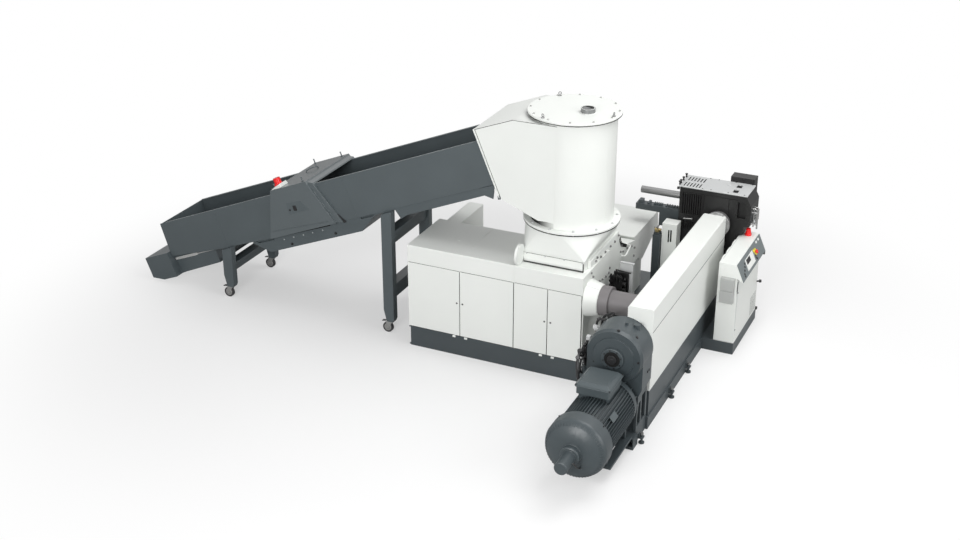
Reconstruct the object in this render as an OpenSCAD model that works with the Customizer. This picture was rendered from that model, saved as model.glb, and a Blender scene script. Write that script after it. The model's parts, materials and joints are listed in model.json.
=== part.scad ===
// Plastic recycling pelletizing machine: an inclined belt conveyor with a metal detector feeds
// the chute of a cutting drum, whose screw intake feeds an extruder that ends in a pelletizer.
// All sizes are in millimetres. X runs along the cabinet front, Y runs back, Z is up.
// Every sub-part is drawn from the cabinet's front left bottom corner, and from_drum() then
// moves it so that the origin is the floor point under the drum's axis.

/* [Cabinet] */
// Length of the cabinet along X
cab_l = 2055; // [1600:5:2600]
// Depth of the cabinet along Y
cab_d = 800; // [600:5:1100]
// Height of the dark base under the cabinet
plinth_h = 247; // [120:1:320]
// Height of the plain panel above the doors
header_h = 201; // [120:1:280]
// Height of the cabinet roof above the floor
cab_h = 1246; // [1000:2:1500]
// Thickness of the cabinet's walls
cab_wall = 30; // [10:1:60]
// Thickness of a door leaf
door_t = 20; // [12:1:24]
// How far the white body stands out over the dark base at its left end
body_over = 14; // [8:1:30]
// Gap between moving leaf edges
door_gap = 9; // [8:1:14]
// Where the first pair of doors meets
split_a = 620; // [500:5:760]
// Where the two pairs of doors stand back to back
split_b = 1264; // [1100:2:1400]
// Where the second pair of doors meets
split_c = 1658; // [1500:2:1800]
// Radius of a door's pivot pin
door_pin_r = 4; // [3:0.5:6]

/* [Drum] */
// Distance of the drum axis from the cabinet's left end
drum_x = 1660; // [1400:5:1900]
// Distance of the drum axis behind the cabinet front
drum_y = 645; // [500:5:800]
// Outer radius of the drum shell
drum_r = 452; // [380:1:520]
// Thickness of the drum's sheet
drum_t = 12; // [6:1:20]
// Radius of the bottom flange
flange_r = 525; // [470:1:600]
// Height of the bottom flange's underside above the cabinet roof
hopper_h = 386; // [300:2:480]
// Thickness of the bottom flange
flange_t = 28; // [16:1:40]
// Radius of the lid
lid_r = 500; // [460:1:560]
// Height of the drum from its bottom flange's underside to the lid's top
drum_h = 1220; // [900:5:1400]
// Thickness of the lid
lid_t = 22; // [12:1:40]
// Outer radius of the vent collar on the lid
vent_r = 75; // [50:1:100]
// Height of the vent collar
vent_h = 48; // [20:1:90]

/* [Hopper base] */
// Half length of the hopper base along X
base_hx = 344; // [280:2:420]
// Half length of the hopper base along Y
base_hy = 499; // [420:1:560]
// Height of the straight bolted panel above the roof
base_panel_h = 111; // [70:1:160]

/* [Conveyor] */
// Length of the conveyor's side walls
conv_l = 4700; // [3900:5:5400]
// Height of the walls' low bottom corner above the floor
low_z = 362; // [340:2:480]
// Height of the walls above their bottom corner line
wall_top = 430; // [300:5:520]
// Depth of the walls below their bottom corner line
wall_low = 74; // [40:1:110]
// Thickness of a side wall
wall_t = 10; // [6:1:20]
// Radius of the belt's end rollers
roller_r = 60; // [40:1:75]
// Thickness of the belt
belt_t = 10; // [6:1:16]
// How far the detector stands out from the walls
det_out = 60; // [30:1:90]

/* [Conveyor legs] */
// Distance of the short legs from the conveyor's low end, along the slope
short_leg_u = 935; // [850:5:1100]
// Distance of the tall legs from the cabinet's left end
tall_leg_gap = 352; // [250:2:500]
// Width of a leg's section along X
leg_w = 130; // [90:1:160]
// Depth of a leg's section along Y
leg_d = 90; // [60:1:110]
// Height of a leg's underside, the height of a caster
caster_h = 155; // [130:1:200]
// Radius of a caster wheel
wheel_r = 62.5; // [50:0.5:80]
// Width of a caster wheel
wheel_w = 38; // [26:1:50]
// How far a wheel trails behind its swivel axis
trail = 34; // [20:1:50]

/* [Extruder] */
// Distance of the extruder's axis from the cabinet's right end
screw_gap = 678; // [600:1:800]
// Height of the gearbox's output axis
screw_z = 930; // [800:2:1050]
// Radius of the gearbox's round housing
gear_r = 295; // [240:1:340]
// Front face of the gearbox
gear_y = -924; // [-1100:2:-800]
// Height of the motor's shaft
motor_z = 455; // [400:1:520]
// Radius over the motor's fins
motor_r = 285; // [230:1:310]
// Radius of the motor's fan cowl
cowl_r = 313; // [260:1:340]
// Number of cooling fins around the motor
fin_n = 56; // [24:2:72]
// Height of the extruder's bottom rail
frame_h = 140; // [80:5:200]
// Width of the barrel cover
cover_w = 270; // [220:5:320]
// Front end of the barrel cover
cover_y0 = -583; // [-700:1:-450]
// Rear end of the barrel cover
cover_y1 = 1990; // [1800:5:2200]
// Underside of the barrel cover
cover_z0 = 440; // [380:5:520]
// Top of the barrel cover
cover_z1 = 1350; // [1200:5:1500]
// Height of the seam between the cover's side and its lid
cover_seam = 1100; // [1000:5:1250]

/* [Pelletizer] */
// Length of the pelletizer housing along X
pel_w = 835; // [700:5:950]
// Depth of the pelletizer housing along Y
pel_d = 360; // [260:5:500]
// Underside of the pelletizer housing
pel_z0 = 700; // [500:5:950]
// Top of the pelletizer housing
pel_z1 = 1590; // [1400:5:1700]

/* [Control panel] */
// Gap between the barrel cover and the control panel
panel_gap = 133; // [100:1:200]
// Width of the control panel
panel_w = 232; // [180:2:320]
// Near end of the control panel
panel_y0 = 1305; // [1100:5:1500]
// Length of the control panel along Y
panel_l = 960; // [700:5:1100]
// Top of the control panel
panel_z1 = 1101; // [950:1:1250]
// Height of the control panel's base
panel_base_h = 140; // [80:1:200]

/* [Hidden] */
$fn = 64;
eps = 0.01;

// Doors: a leaf stands in front of the shell, and its pivot is inside its outer front corner
door_top = cab_h - header_h;
leaf_z0 = plinth_h + 6;
leaf_z1 = door_top - 6;
shell_y = door_t + 8;
pin_in = 7;
end_gap = 13;
pin_len = 12;
pin_play = 0.05;
seam = 4;
// White duct that runs back from the cabinet
duct_x0 = 65;
duct_x1 = 263;
duct_l = 600;
// Drum and lid
flange_z = cab_h + hopper_h;
lid_z = flange_z + drum_h;
shell_z0 = flange_z + flange_t;
shell_z1 = lid_z - lid_t;
vent_x = 162;
vent_y = -45;
vent_bore = vent_r - 13;
base_top = cab_h + base_panel_h;
boss_r = 114;
boss_y = drum_y - base_hy - 94;
chute_end = drum_x - 40;
// Conveyor: u runs up the slope, v stands square to it, from the walls' low bottom corner. Its
// head stands in the chute, so its slope follows from its length and the two heights
head_x = drum_x - 709.2;
head_z = flange_z + 490.7;
slope = asin((head_z - low_z) / conv_l);
low_x = head_x - conv_l * cos(slope);
conv_w = 2 * (drum_r - drum_t);
near_y = drum_y - conv_w / 2;
far_y = drum_y + conv_w / 2;
belt_in = 15;
lip_w = 19;
belt_v = 65;
tail_u = 120;
head_u = conv_l - 85;
leg_low = 58;
pan_t = 16;
side_play = 0.02;
// Legs and casters
short_leg_x = low_x + short_leg_u * cos(slope);
tall_leg_x = -tall_leg_gap;
tall_leg_u = (tall_leg_x - low_x) / cos(slope);
det_mid = (short_leg_u + tall_leg_u) / 2 - 35;
det_u0 = det_mid - 480;
det_u1 = det_mid + 480;
leg_near_y = drum_y - 458;
leg_far_y = drum_y + 458;
plate_t = 6;
swivel_gap = 5;
crown_t = 6;
crown_z1 = caster_h - plate_t - swivel_gap;
king_r = 10;
king_len = 18;
axle_r = 6;
cheek_t = 5;
cheek_gap = 5;
// Extruder
screw_x = cab_l + screw_gap;
cone_y = 180;
cone_z = 950;
cone_x0 = cab_l;
cone_x1 = cab_l + 150;
cover_x0 = screw_x + 12;
cover_x1 = cover_x0 + cover_w;
gear_back = cover_y0;
frame_y0 = cover_y0 - 13;
frame_x0 = screw_x - 253;
frame_x1 = cover_x1 + 5;
motor_l = 766;
motor_y1 = gear_y - 60;
motor_y0 = motor_y1 - motor_l;
motor_core = motor_r - 30;
cowl_l = 140;
box_z = motor_z + motor_r + 5;
// Pelletizer, filter and control panel
pel_x0 = screw_x - 303;
pel_x1 = pel_x0 + pel_w;
pel_y0 = cover_y1 + 90;
pel_y1 = pel_y0 + pel_d;
panel_x0 = cover_x1 + panel_gap;
panel_x1 = panel_x0 + panel_w;
panel_y1 = panel_y0 + panel_l;

// Moves a sub-part so that the origin lies under the drum's axis
module from_drum() translate([-drum_x, -drum_y, 0]) children();

// Places a shape drawn as (u, v) in its XY plane along the slope, from y0 for a width w
module along_slope(y0, w)
    translate([low_x, y0, low_z]) rotate([0, -slope, 0])
        translate([0, w, 0]) rotate([90, 0, 0]) linear_extrude(w) children();

// A cylinder along Y from y0 for a length l
module along_y(x, y0, z, l, r, r2 = 0)
    translate([x, y0, z]) rotate([-90, 0, 0]) cylinder(h = l, r1 = r, r2 = r2 > 0 ? r2 : r);

// A cylinder along X from x0 for a length l
module along_x(x0, y, z, l, r, r2 = 0)
    translate([x0, y, z]) rotate([0, 90, 0]) cylinder(h = l, r1 = r, r2 = r2 > 0 ? r2 : r);

// A shape drawn as (x, z) that runs from y0 to y1
module along_depth(y0, y1) translate([0, y1, 0]) rotate([90, 0, 0]) linear_extrude(y1 - y0) children();

// A box between two corners
module block(a, b) translate(a) cube([b[0] - a[0], b[1] - a[1], b[2] - a[2]]);

module base_frame() from_drum() color("#3b4245") {
    difference() {
        union() {
            block([0, 8, 0], [cab_l - 4, cab_d, plinth_h - 13]);
            block([-body_over, 0, plinth_h - 14], [cab_l, cab_d, plinth_h]);
        }
        for (i = [1 : 4])
            translate([pin_x(i), pin_in, plinth_h - pin_len]) cylinder(h = 40, r = door_pin_r + pin_play);
    }
    // foot plates at the two front corners
    block([-22, 20, 0], [40, 90, 12]);
    block([cab_l - 40, 20, 0], [cab_l + 18, 90, 12]);
    // low rear frame that carries the drum's rear housing and the filter
    block([drum_x - 510, cab_d - eps, 0], [frame_x0, cab_d + 1900, 140]);
    block([20, cab_d - eps, 0], [duct_x1 + 40, cab_d + duct_l, plinth_h]);
    // dark post of the melt filter with the clamps of its valve on top
    block([screw_x - 528, 1850, 139], [screw_x - 436, 1950, 1035]);
    block([screw_x - 520, 1860, 1035 - eps], [screw_x - 448, 1940, 1062]);
}

// Where each door's pivot stands along X
function pin_x(i) = i == 1 ? pin_in - body_over : i == 2 ? split_b - door_gap / 2 - pin_in
                  : i == 3 ? split_b + door_gap / 2 + pin_in : cab_l - end_gap - pin_in;

module cabinet_shell() from_drum() color("#eef1ee") difference() {
    union() {
        block([-body_over, shell_y, plinth_h], [cab_l, cab_d, door_top + 1]);
        // header over the doors, with its folded front edge
        translate([-body_over, 0, 0]) rotate([90, 0, 90]) linear_extrude(cab_l + body_over)
            polygon([[0, door_top], [0, cab_h - 14], [4, cab_h - 4], [14, cab_h], [cab_d, cab_h],
                     [cab_d, door_top]]);
    }
    for (x = [[cab_wall, split_b - 20], [split_b + 20, cab_l - cab_wall]])
        block([x[0], shell_y - 1, plinth_h + cab_wall], [x[1], cab_d - cab_wall, door_top - cab_wall]);
    for (i = [1 : 4])
        translate([pin_x(i), pin_in, door_top - 1]) cylinder(h = pin_len + 1, r = door_pin_r + pin_play);
    // seams of the header and of the roof sheets
    block([split_b + 2, -1, door_top - 1], [split_b + 2 + seam, seam, cab_h + 1]);
    block([split_b + 2, -1, cab_h - seam], [split_b + 2 + seam, drum_y - base_hy - 2, cab_h + 1]);
    block([split_a + 44, 244, cab_h - seam], [split_a + 44 + seam, cab_d - 19, cab_h + 1]);
}

// One leaf from x0 to x1 that turns about pin_x(i), with its pivot pins and their holes
module leaf(x0, x1, i) from_drum() color("#f2f4f2") {
    block([x0, 0, leaf_z0], [x1, door_t, leaf_z1]);
    translate([pin_x(i), pin_in, plinth_h - pin_len])
        cylinder(h = door_top - plinth_h + 2 * pin_len, r = door_pin_r);
}

module door_1() leaf(-body_over, split_a - 4, 1);
module door_2() leaf(split_a + 4, split_b - door_gap / 2, 2);
module door_3() leaf(split_b + door_gap / 2, split_c - 4, 3);
module door_4() leaf(split_c + 4, cab_l - end_gap, 4);

module rear_duct() from_drum() color("#eef1ee")
    along_depth(cab_d, cab_d + duct_l)
        polygon([[duct_x0, plinth_h], [duct_x0, cab_h - 14], [duct_x0 + 40, cab_h],
                 [duct_x1, cab_h], [duct_x1, plinth_h]]);

// Square to round: a bolted panel below, a sloped part above, and an upright round cover at its
// left front corner, held by a lug
module hopper_base() from_drum() color("#eef1ee") {
    block([drum_x - base_hx, drum_y - base_hy, cab_h], [drum_x + base_hx, drum_y + base_hy, base_top]);
    block([drum_x - base_hx - 8, drum_y - base_hy - 12, base_top - 10],
          [drum_x + base_hx - 1, drum_y + base_hy - 1, base_top]);
    hull() {
        block([drum_x - base_hx, drum_y - base_hy, base_top - 1],
              [drum_x + base_hx, drum_y + base_hy, base_top]);
        translate([drum_x, drum_y, flange_z - 20]) cylinder(h = 20, r = flange_r - 25, $fn = 48);
    }
    along_x(drum_x - base_hx - 26, boss_y, cab_h + boss_r + 2, 26, boss_r);
    along_x(drum_x - base_hx - 38, boss_y, cab_h + boss_r + 2, 13, 60);
    block([drum_x - base_hx - 18, boss_y, cab_h + 60],
          [drum_x - base_hx + eps, boss_y + 138, cab_h + 150]);
}

// Thick bolted plate at the right of the hopper base
module side_plate() from_drum() color("#eef1ee")
    translate([drum_x + base_hx, 0, 0]) rotate([90, 0, 90]) linear_extrude(32)
        polygon([[253, cab_h], [253, cab_h + 84], [cab_d + 331, cab_h + 84], [cab_d + 502, cab_h - 162],
                 [cab_d + 927, cab_h - 260], [cab_d + 1113, cab_h - 554], [cab_d + 5, cab_h - 554],
                 [cab_d + 5, cab_h]]);

module rear_housing() from_drum() color("#dfe3df")
    translate([drum_x - base_hx, 0, 0]) rotate([90, 0, 90]) linear_extrude(2 * base_hx)
        polygon([[cab_d, 140], [cab_d, cab_h], [cab_d + 331, cab_h], [cab_d + 502, cab_h - 162],
                 [cab_d + 927, cab_h - 260], [cab_d + 1113, cab_h - 554], [cab_d + 1113, 140]]);

// White box at the far end of the drum's drive, with a sloped end and its flange
module rear_box() from_drum() color("#eef1ee") {
    translate([drum_x - base_hx, 0, 0]) rotate([90, 0, 90]) linear_extrude(2 * base_hx + 21)
        polygon([[cab_d + 930, cab_h - 231], [cab_d + 1802, cab_h - 231], [cab_d + 1845, cab_h - 426],
                 [cab_d + 1280, cab_h - 646], [cab_d + 1150, cab_h - 606]]);
    block([drum_x - base_hx + 40, cab_d + 1210, 140], [drum_x + base_hx - 60, cab_d + 1500, cab_h - 546]);
}

module drum_flange() from_drum() color("#e4e8e5")
    translate([drum_x, drum_y, flange_z]) cylinder(h = flange_t, r = flange_r);

module drum_shell() from_drum() color("#eef1ee") difference() {
    translate([drum_x, drum_y, shell_z0]) cylinder(h = shell_z1 - shell_z0, r = drum_r);
    translate([drum_x, drum_y, shell_z0 + drum_t]) cylinder(h = shell_z1, r = drum_r - drum_t);
    // feed opening toward the chute
    block([drum_x - drum_r - 50, drum_y - drum_r + 60, flange_z + 318],
          [drum_x - 150, drum_y + drum_r - 60, lid_z - 152]);
}

// Outline of the chute seen from the front: its walls run on as tangents to the drum
chute_pts = [[drum_x - 965, flange_z + 993], [drum_x - 513, lid_z - 54], [chute_end, lid_z - 54],
             [chute_end, flange_z + 94], [drum_x - 211, flange_z + 88], [drum_x - 358, flange_z + 149],
             [drum_x - 661, flange_z + 273]];
chute_hollow = [[drum_x - 1060, flange_z + 944], [drum_x - 513, lid_z - 67],
                [chute_end + 9, lid_z - 67], [chute_end + 9, flange_z + 107],
                [drum_x - 208, flange_z + 101],
                [drum_x - 352, flange_z + 161], [drum_x - 760, flange_z + 328]];

module chute() from_drum() color("#eef1ee") difference() {
    union() {
        along_depth(drum_y - drum_r, drum_y + drum_r) polygon(chute_pts);
        // angled rim around the mouth
        along_depth(drum_y - drum_r - 8, drum_y + drum_r + 8)
            polygon([[drum_x - 965, flange_z + 993], [drum_x - 952, flange_z + 998],
                     [drum_x - 648, flange_z + 268], [drum_x - 661, flange_z + 273]]);
    }
    along_depth(drum_y - drum_r + drum_t, drum_y + drum_r - drum_t) polygon(chute_hollow);
    translate([drum_x, drum_y, shell_z0 - 1]) cylinder(h = 3000, r = drum_r);
}

module lid() from_drum() color("#f4f6f4") difference() {
    union() {
        translate([drum_x, drum_y, shell_z1]) cylinder(h = lid_t, r = lid_r);
        translate([drum_x + vent_x, drum_y + vent_y, lid_z - eps]) cylinder(h = vent_h, r = vent_r);
    }
    translate([drum_x + vent_x, drum_y + vent_y, shell_z1 - 1]) cylinder(h = 200, r = vent_bore);
}

module wall_shape() polygon([[0, 0], [0, 67], [29, wall_top], [conv_l, wall_top],
                             [conv_l, -wall_low], [short_leg_u + 535, -wall_low],
                             [short_leg_u + 85, -leg_low], [short_leg_u - 115, -leg_low]]);

// The folded lip along a wall's top edge, on its inner side
module lip(y0) along_slope(y0, lip_w)
    polygon([[60, wall_top - 11], [60, wall_top - 3], [conv_l - 60, wall_top - 3],
             [conv_l - 60, wall_top - 11]]);

module trough_near_wall() from_drum() color("#4f585b") {
    along_slope(near_y, wall_t) wall_shape();
    lip(near_y + wall_t - 1);
}

module trough_far_wall() from_drum() color("#4f585b") {
    along_slope(far_y - wall_t, wall_t) wall_shape();
    lip(far_y - wall_t + 1 - lip_w);
}

// A cylinder across the conveyor at (u, v)
module roller(u, v, y0, w, r) translate([low_x, y0, low_z]) rotate([0, -slope, 0])
    translate([u, 0, v]) rotate([-90, 0, 0]) cylinder(h = w, r = r);

module belt_bed() from_drum() color("#6b7376") {
    along_slope(near_y + wall_t + side_play, conv_w - 2 * (wall_t + side_play))
        polygon([[tail_u + 30, belt_v + roller_r], [head_u - 30, belt_v + roller_r],
                 [head_u - 30, belt_v - 30], [tail_u + 30, belt_v - 30]]);
    for (u = [tail_u, head_u]) {
        roller(u, belt_v, near_y + wall_t + belt_in, conv_w - 2 * (wall_t + belt_in), roller_r);
        roller(u, belt_v, near_y + wall_t + side_play, conv_w - 2 * (wall_t + side_play), 20);
    }
}

module belt_outline(r) {
    translate([tail_u, belt_v]) circle(r);
    translate([head_u, belt_v]) circle(r);
    translate([tail_u, belt_v - r]) square([head_u - tail_u, 2 * r]);
}

module conveyor_belt() from_drum() color("#1d1f20")
    difference() {
        along_slope(near_y + wall_t + belt_in, conv_w - 2 * (wall_t + belt_in))
            belt_outline(roller_r + belt_t);
        along_slope(near_y + wall_t + belt_in - 1, conv_w - 2 * (wall_t + belt_in) + 2)
            belt_outline(roller_r);
    }

module tail_box() from_drum() color("#4f585b") {
    along_slope(near_y - det_out, conv_w + 2 * det_out)
        polygon([[-370, 67], [-4, 67], [0, 0], [0, -251], [-215, -251], [-373, -193]]);
    // end sheet of the trough between its walls
    along_slope(near_y + wall_t + side_play, conv_w - 2 * (wall_t + side_play))
        polygon([[-6, 60], [26, wall_top - 6], [34, wall_top - 6], [8, 60], [8, 0], [-6, 0]]);
    // drip tray that runs back under the belt
    along_slope(near_y + 50, conv_w - 100)
        polygon([[-3, -15], [646, -15], [646, -225], [76, -243], [-3, -251]]);
}

// Slotted steel arm beside the tail, and the rod that pulls the tail roller tight
module tensioner(y0) {
    difference() {
        along_slope(y0, 14) polygon([[5, -66], [5, -35], [363, -35], [363, -66]]);
        along_slope(y0 - 1, 9) polygon([[40, -57], [40, -44], [330, -44], [330, -57]]);
    }
    translate([low_x, y0 + 7, low_z]) rotate([0, -slope, 0]) translate([360, 0, -50])
        rotate([0, 90, 0]) cylinder(h = 281, r = 7);
    for (u = [20, 348]) roller(u, -50, y0 - 8, 9, 9);
}

module tensioner_1() from_drum() color("#9aa0a2") tensioner(near_y + 36);
module tensioner_2() from_drum() color("#9aa0a2") translate([0, 2 * drum_y, 0]) mirror([0, 1, 0])
    tensioner(near_y + 36);

// The detector stands over the conveyor like a gate: a wide frame and a lower flange beside it
module detector_hood() from_drum() color("#5a6366") difference() {
    union() {
        along_slope(near_y - det_out, conv_w + 2 * det_out)
            polygon([[det_u0, -65], [det_u0 + 265, 490], [det_u1 - 180, 490], [det_u1, -65]]);
        along_slope(near_y - 30, conv_w + 60)
            polygon([[det_u1 - 190, 480], [det_u1 - 110, 445], [det_u1 + 80, -80],
                     [det_u1 - 10, -60]]);
    }
    along_slope(near_y, conv_w)
        polygon([[det_u0 - 100, -200], [det_u0 - 100, wall_top], [det_u1 + 200, wall_top],
                 [det_u1 + 200, -200]]);
}

module detector_beacon() from_drum() color("#d22020")
    translate([low_x, near_y + 40, low_z]) rotate([0, -slope, 0]) translate([det_u0 + 340, 0, 490]) {
        cylinder(h = 40, r = 55);
        cylinder(h = 110, r = 42);
    }

// Belly pan under the detector and head pan under the conveyor's upper end
module under_pan() from_drum() color("#454d50") difference() {
    along_slope(near_y, conv_w)
        polygon([[short_leg_u + 335, -wall_low], [short_leg_u + 545, -235], [tall_leg_u - 465, -240],
                 [tall_leg_u - 250, -105], [tall_leg_u - 195, -wall_low - pan_t],
                 [conv_l - 1350, -wall_low - pan_t], [conv_l - 1318, -205], [conv_l - 1230, -178],
                 [conv_l - 173, -165], [conv_l - 173, -wall_low]]);
    // dark slots between the wall and the pan
    for (y = [near_y - 1, far_y - 29]) along_slope(y, 30) {
        polygon([[short_leg_u + 400, -wall_low - 6], [short_leg_u + 665, -wall_low - 6],
                 [short_leg_u + 665, -wall_low - 26], [short_leg_u + 440, -wall_low - 26]]);
        polygon([[tall_leg_u - 425, -wall_low - 6], [tall_leg_u - 225, -wall_low - 6],
                 [tall_leg_u - 260, -wall_low - 26], [tall_leg_u - 425, -wall_low - 26]]);
    }
}

// A leg pair at x under the walls, its tops cut along the line v = -low
module leg_pair(x, low) for (y = [leg_near_y, leg_far_y]) difference() {
    block([x - leg_w / 2, y - leg_d / 2, caster_h - plate_t], [x + leg_w / 2, y + leg_d / 2, head_z]);
    along_slope(y - leg_w, 2 * leg_w)
        polygon([[-200, -low], [conv_l + 300, -low], [conv_l + 300, 3000], [-200, 3000]]);
    // swivel seat for the caster
    translate([x, y, caster_h - plate_t - 1]) cylinder(h = king_len + 2, r = king_r + pin_play);
    // the leg narrows below, down to the caster's plate
    translate([x - leg_w / 2, y - leg_w, caster_h - plate_t]) rotate([-90, 0, 0])
        linear_extrude(2 * leg_w) polygon([[-1, 1], [36, 1], [-1, -150]]);
    translate([x + leg_w / 2, y - leg_w, caster_h - plate_t]) rotate([-90, 0, 0])
        linear_extrude(2 * leg_w) polygon([[1, 1], [-14, 1], [1, -40]]);
}

// A cross beam with a flange on top, between the two legs of a pair
module cross_beam(x, z0, z1) {
    block([x - 50, leg_near_y + leg_d / 2 - eps, z0], [x + 40, leg_far_y - leg_d / 2 + eps, z1 - 30]);
    block([x - 55, leg_near_y + leg_d / 2 - eps, z1 - 31], [x + 65, leg_far_y - leg_d / 2 + eps, z1]);
}

module short_leg_frame() from_drum() color("#4f585b") {
    leg_pair(short_leg_x, leg_low);
    cross_beam(short_leg_x, caster_h + 185, caster_h + 300);
}

module tall_leg_frame() from_drum() color("#4f585b") {
    leg_pair(tall_leg_x, wall_low + pan_t);
    cross_beam(tall_leg_x, 1105, 1265);
    cross_beam(tall_leg_x, caster_h + 275, caster_h + 460);
}

module fork(x, y) from_drum() translate([x, y, 0]) color("#9aa0a2") {
    translate([0, 0, crown_z1 - eps]) cylinder(h = swivel_gap + king_len, r = king_r);
    block([-30 - trail / 2, -wheel_w / 2 - cheek_gap - cheek_t, crown_z1 - crown_t],
          [30, wheel_w / 2 + cheek_gap + cheek_t, crown_z1]);
    for (s = [-1, 1]) translate([0, s * (wheel_w / 2 + cheek_gap + cheek_t / 2) + cheek_t / 2, 0])
        rotate([90, 0, 0]) linear_extrude(cheek_t)
        polygon([[-30 - trail / 2, crown_z1], [30, crown_z1], [-trail + 14, wheel_r - 12],
                 [-trail - 14, wheel_r - 12]]);
    along_y(-trail, -wheel_w / 2 - cheek_gap - cheek_t - 4, wheel_r,
            wheel_w + 2 * (cheek_gap + cheek_t) + 8, axle_r);
}

module wheel(x, y) from_drum() translate([x, y, 0]) color("#222526") difference() {
    union() {
        along_y(-trail, -wheel_w / 2, wheel_r, wheel_w, wheel_r);
        along_y(-trail, -wheel_w / 2 - 3, wheel_r, wheel_w + 6, 20);
    }
    along_y(-trail, -wheel_w, wheel_r, 2 * wheel_w, axle_r + pin_play);
}

module caster_fork_1() fork(short_leg_x, leg_near_y);
module caster_fork_2() fork(short_leg_x, leg_far_y);
module caster_fork_3() fork(tall_leg_x, leg_near_y);
module caster_fork_4() fork(tall_leg_x, leg_far_y);
module caster_wheel_1() wheel(short_leg_x, leg_near_y);
module caster_wheel_2() wheel(short_leg_x, leg_far_y);
module caster_wheel_3() wheel(tall_leg_x, leg_near_y);
module caster_wheel_4() wheel(tall_leg_x, leg_far_y);

module intake_cone() from_drum() color("#f2f4f2")
    along_x(cone_x0, cone_y, cone_z, cone_x1 - cone_x0, 205, 168);

module intake_pipe() from_drum() color("#8b8d8e") {
    along_x(cone_x1, cone_y, cone_z, 110, 162);
    along_x(cone_x1 + 110 - eps, cone_y, cone_z, cover_x0 - cone_x1 - 110 + eps, 128);
}

// Valve of the drum's water spray: black bodies on an upright plate
module valve_block() from_drum() color("#17191a") {
    block([cab_l + 65, 780, 140], [cab_l + 235, 806, 1010]);
    block([cab_l + 80, 700, 740], [cab_l + 190, 780 + eps, 930]);
    for (z = [770, 835, 900]) along_x(cab_l + 45, 738, z, 175, 26);
    for (x = [105, 165]) translate([cab_l + x, 730, 929]) cylinder(h = 46, r = 22);
    along_y(cab_l + 135, 640, 800, 61, 34, 28);
}

// Window in a foot's cheek, drawn as (y, z)
module cheek() translate([screw_x, 0, 0]) for (s = [-1, 1]) translate([s * 248.5 - 13.5, 0, 0])
    rotate([90, 0, 90]) linear_extrude(27) difference() {
        polygon([[-905, frame_h - 1], [-905, 330], [gear_y + 45, 530], [frame_y0 - 20, 530],
                 [frame_y0 - 1, 400], [frame_y0 - 1, frame_h - 1]]);
        polygon([[-880, 185], [-880, 320], [-845, 440], [-790, 440], [-790, 185]]);
        polygon([[-755, 185], [-755, 480], [-645, 480], [-645, 185]]);
    }

module extruder_frame() from_drum() color("#3b4245") {
    block([frame_x0, frame_y0, 0], [frame_x1, cover_y1 + 10, frame_h]);
    block([frame_x0 + 20, frame_y0 + 36, frame_h - eps], [frame_x1 - 14, cover_y1 - 30, cover_z0]);
    // stand of the pelletizer
    block([screw_x - 133, cover_y1 + 10 - eps, 0], [frame_x1, pel_y1 - 30, pel_z0]);
    // foot of the gearbox: a low rail and two cast cheeks with windows
    block([screw_x - 262, gear_y + 20, 0], [screw_x + 262, frame_y0 + eps, frame_h]);
    cheek();
    // bracket under the motor's flange with pockets between its ribs
    difference() {
        block([screw_x + 95, gear_y - 110, 0], [screw_x + 285, gear_y + 21, 128]);
        for (i = [0 : 2]) block([screw_x + 107 + i * 60, gear_y - 111, 34],
                                [screw_x + 155 + i * 60, gear_y - 40, 116]);
    }
    // levelling feet along the right side
    for (y = [gear_y + 60, 120, 715]) {
        block([frame_x1 - 60, y - 28, 60], [frame_x1 + 50, y + 28, 78]);
        translate([frame_x1 + 28, y, 0]) cylinder(h = 104, r = 12);
        translate([frame_x1 + 28, y, 0]) cylinder(h = 16, r = 30);
        block([frame_x1 - 1, y - 28, 77], [frame_x1 + 14, y + 28, 118]);
    }
    // base of the control panel
    block([frame_x1 - eps, panel_y0, 0], [panel_x1, panel_y1 + 30, panel_base_h]);
}

module barrel_cover() from_drum() color("#f2f4f2") {
    block([cover_x0, cover_y0, cover_z0], [cover_x1, cover_y1, cover_seam - 6]);
    block([cover_x0 + 4, cover_y0 + 4, cover_seam - 7], [cover_x1 - 4, cover_y1 - 4, cover_seam]);
    translate([0, cover_y1, 0]) rotate([90, 0, 0]) linear_extrude(cover_y1 - cover_y0)
        polygon([[cover_x0, cover_seam - eps], [cover_x0, cover_z1 - 22], [cover_x0 + 7, cover_z1 - 7],
                 [cover_x0 + 22, cover_z1], [cover_x1 - 22, cover_z1], [cover_x1 - 7, cover_z1 - 7],
                 [cover_x1, cover_z1 - 22], [cover_x1, cover_seam - eps]]);
}

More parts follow.
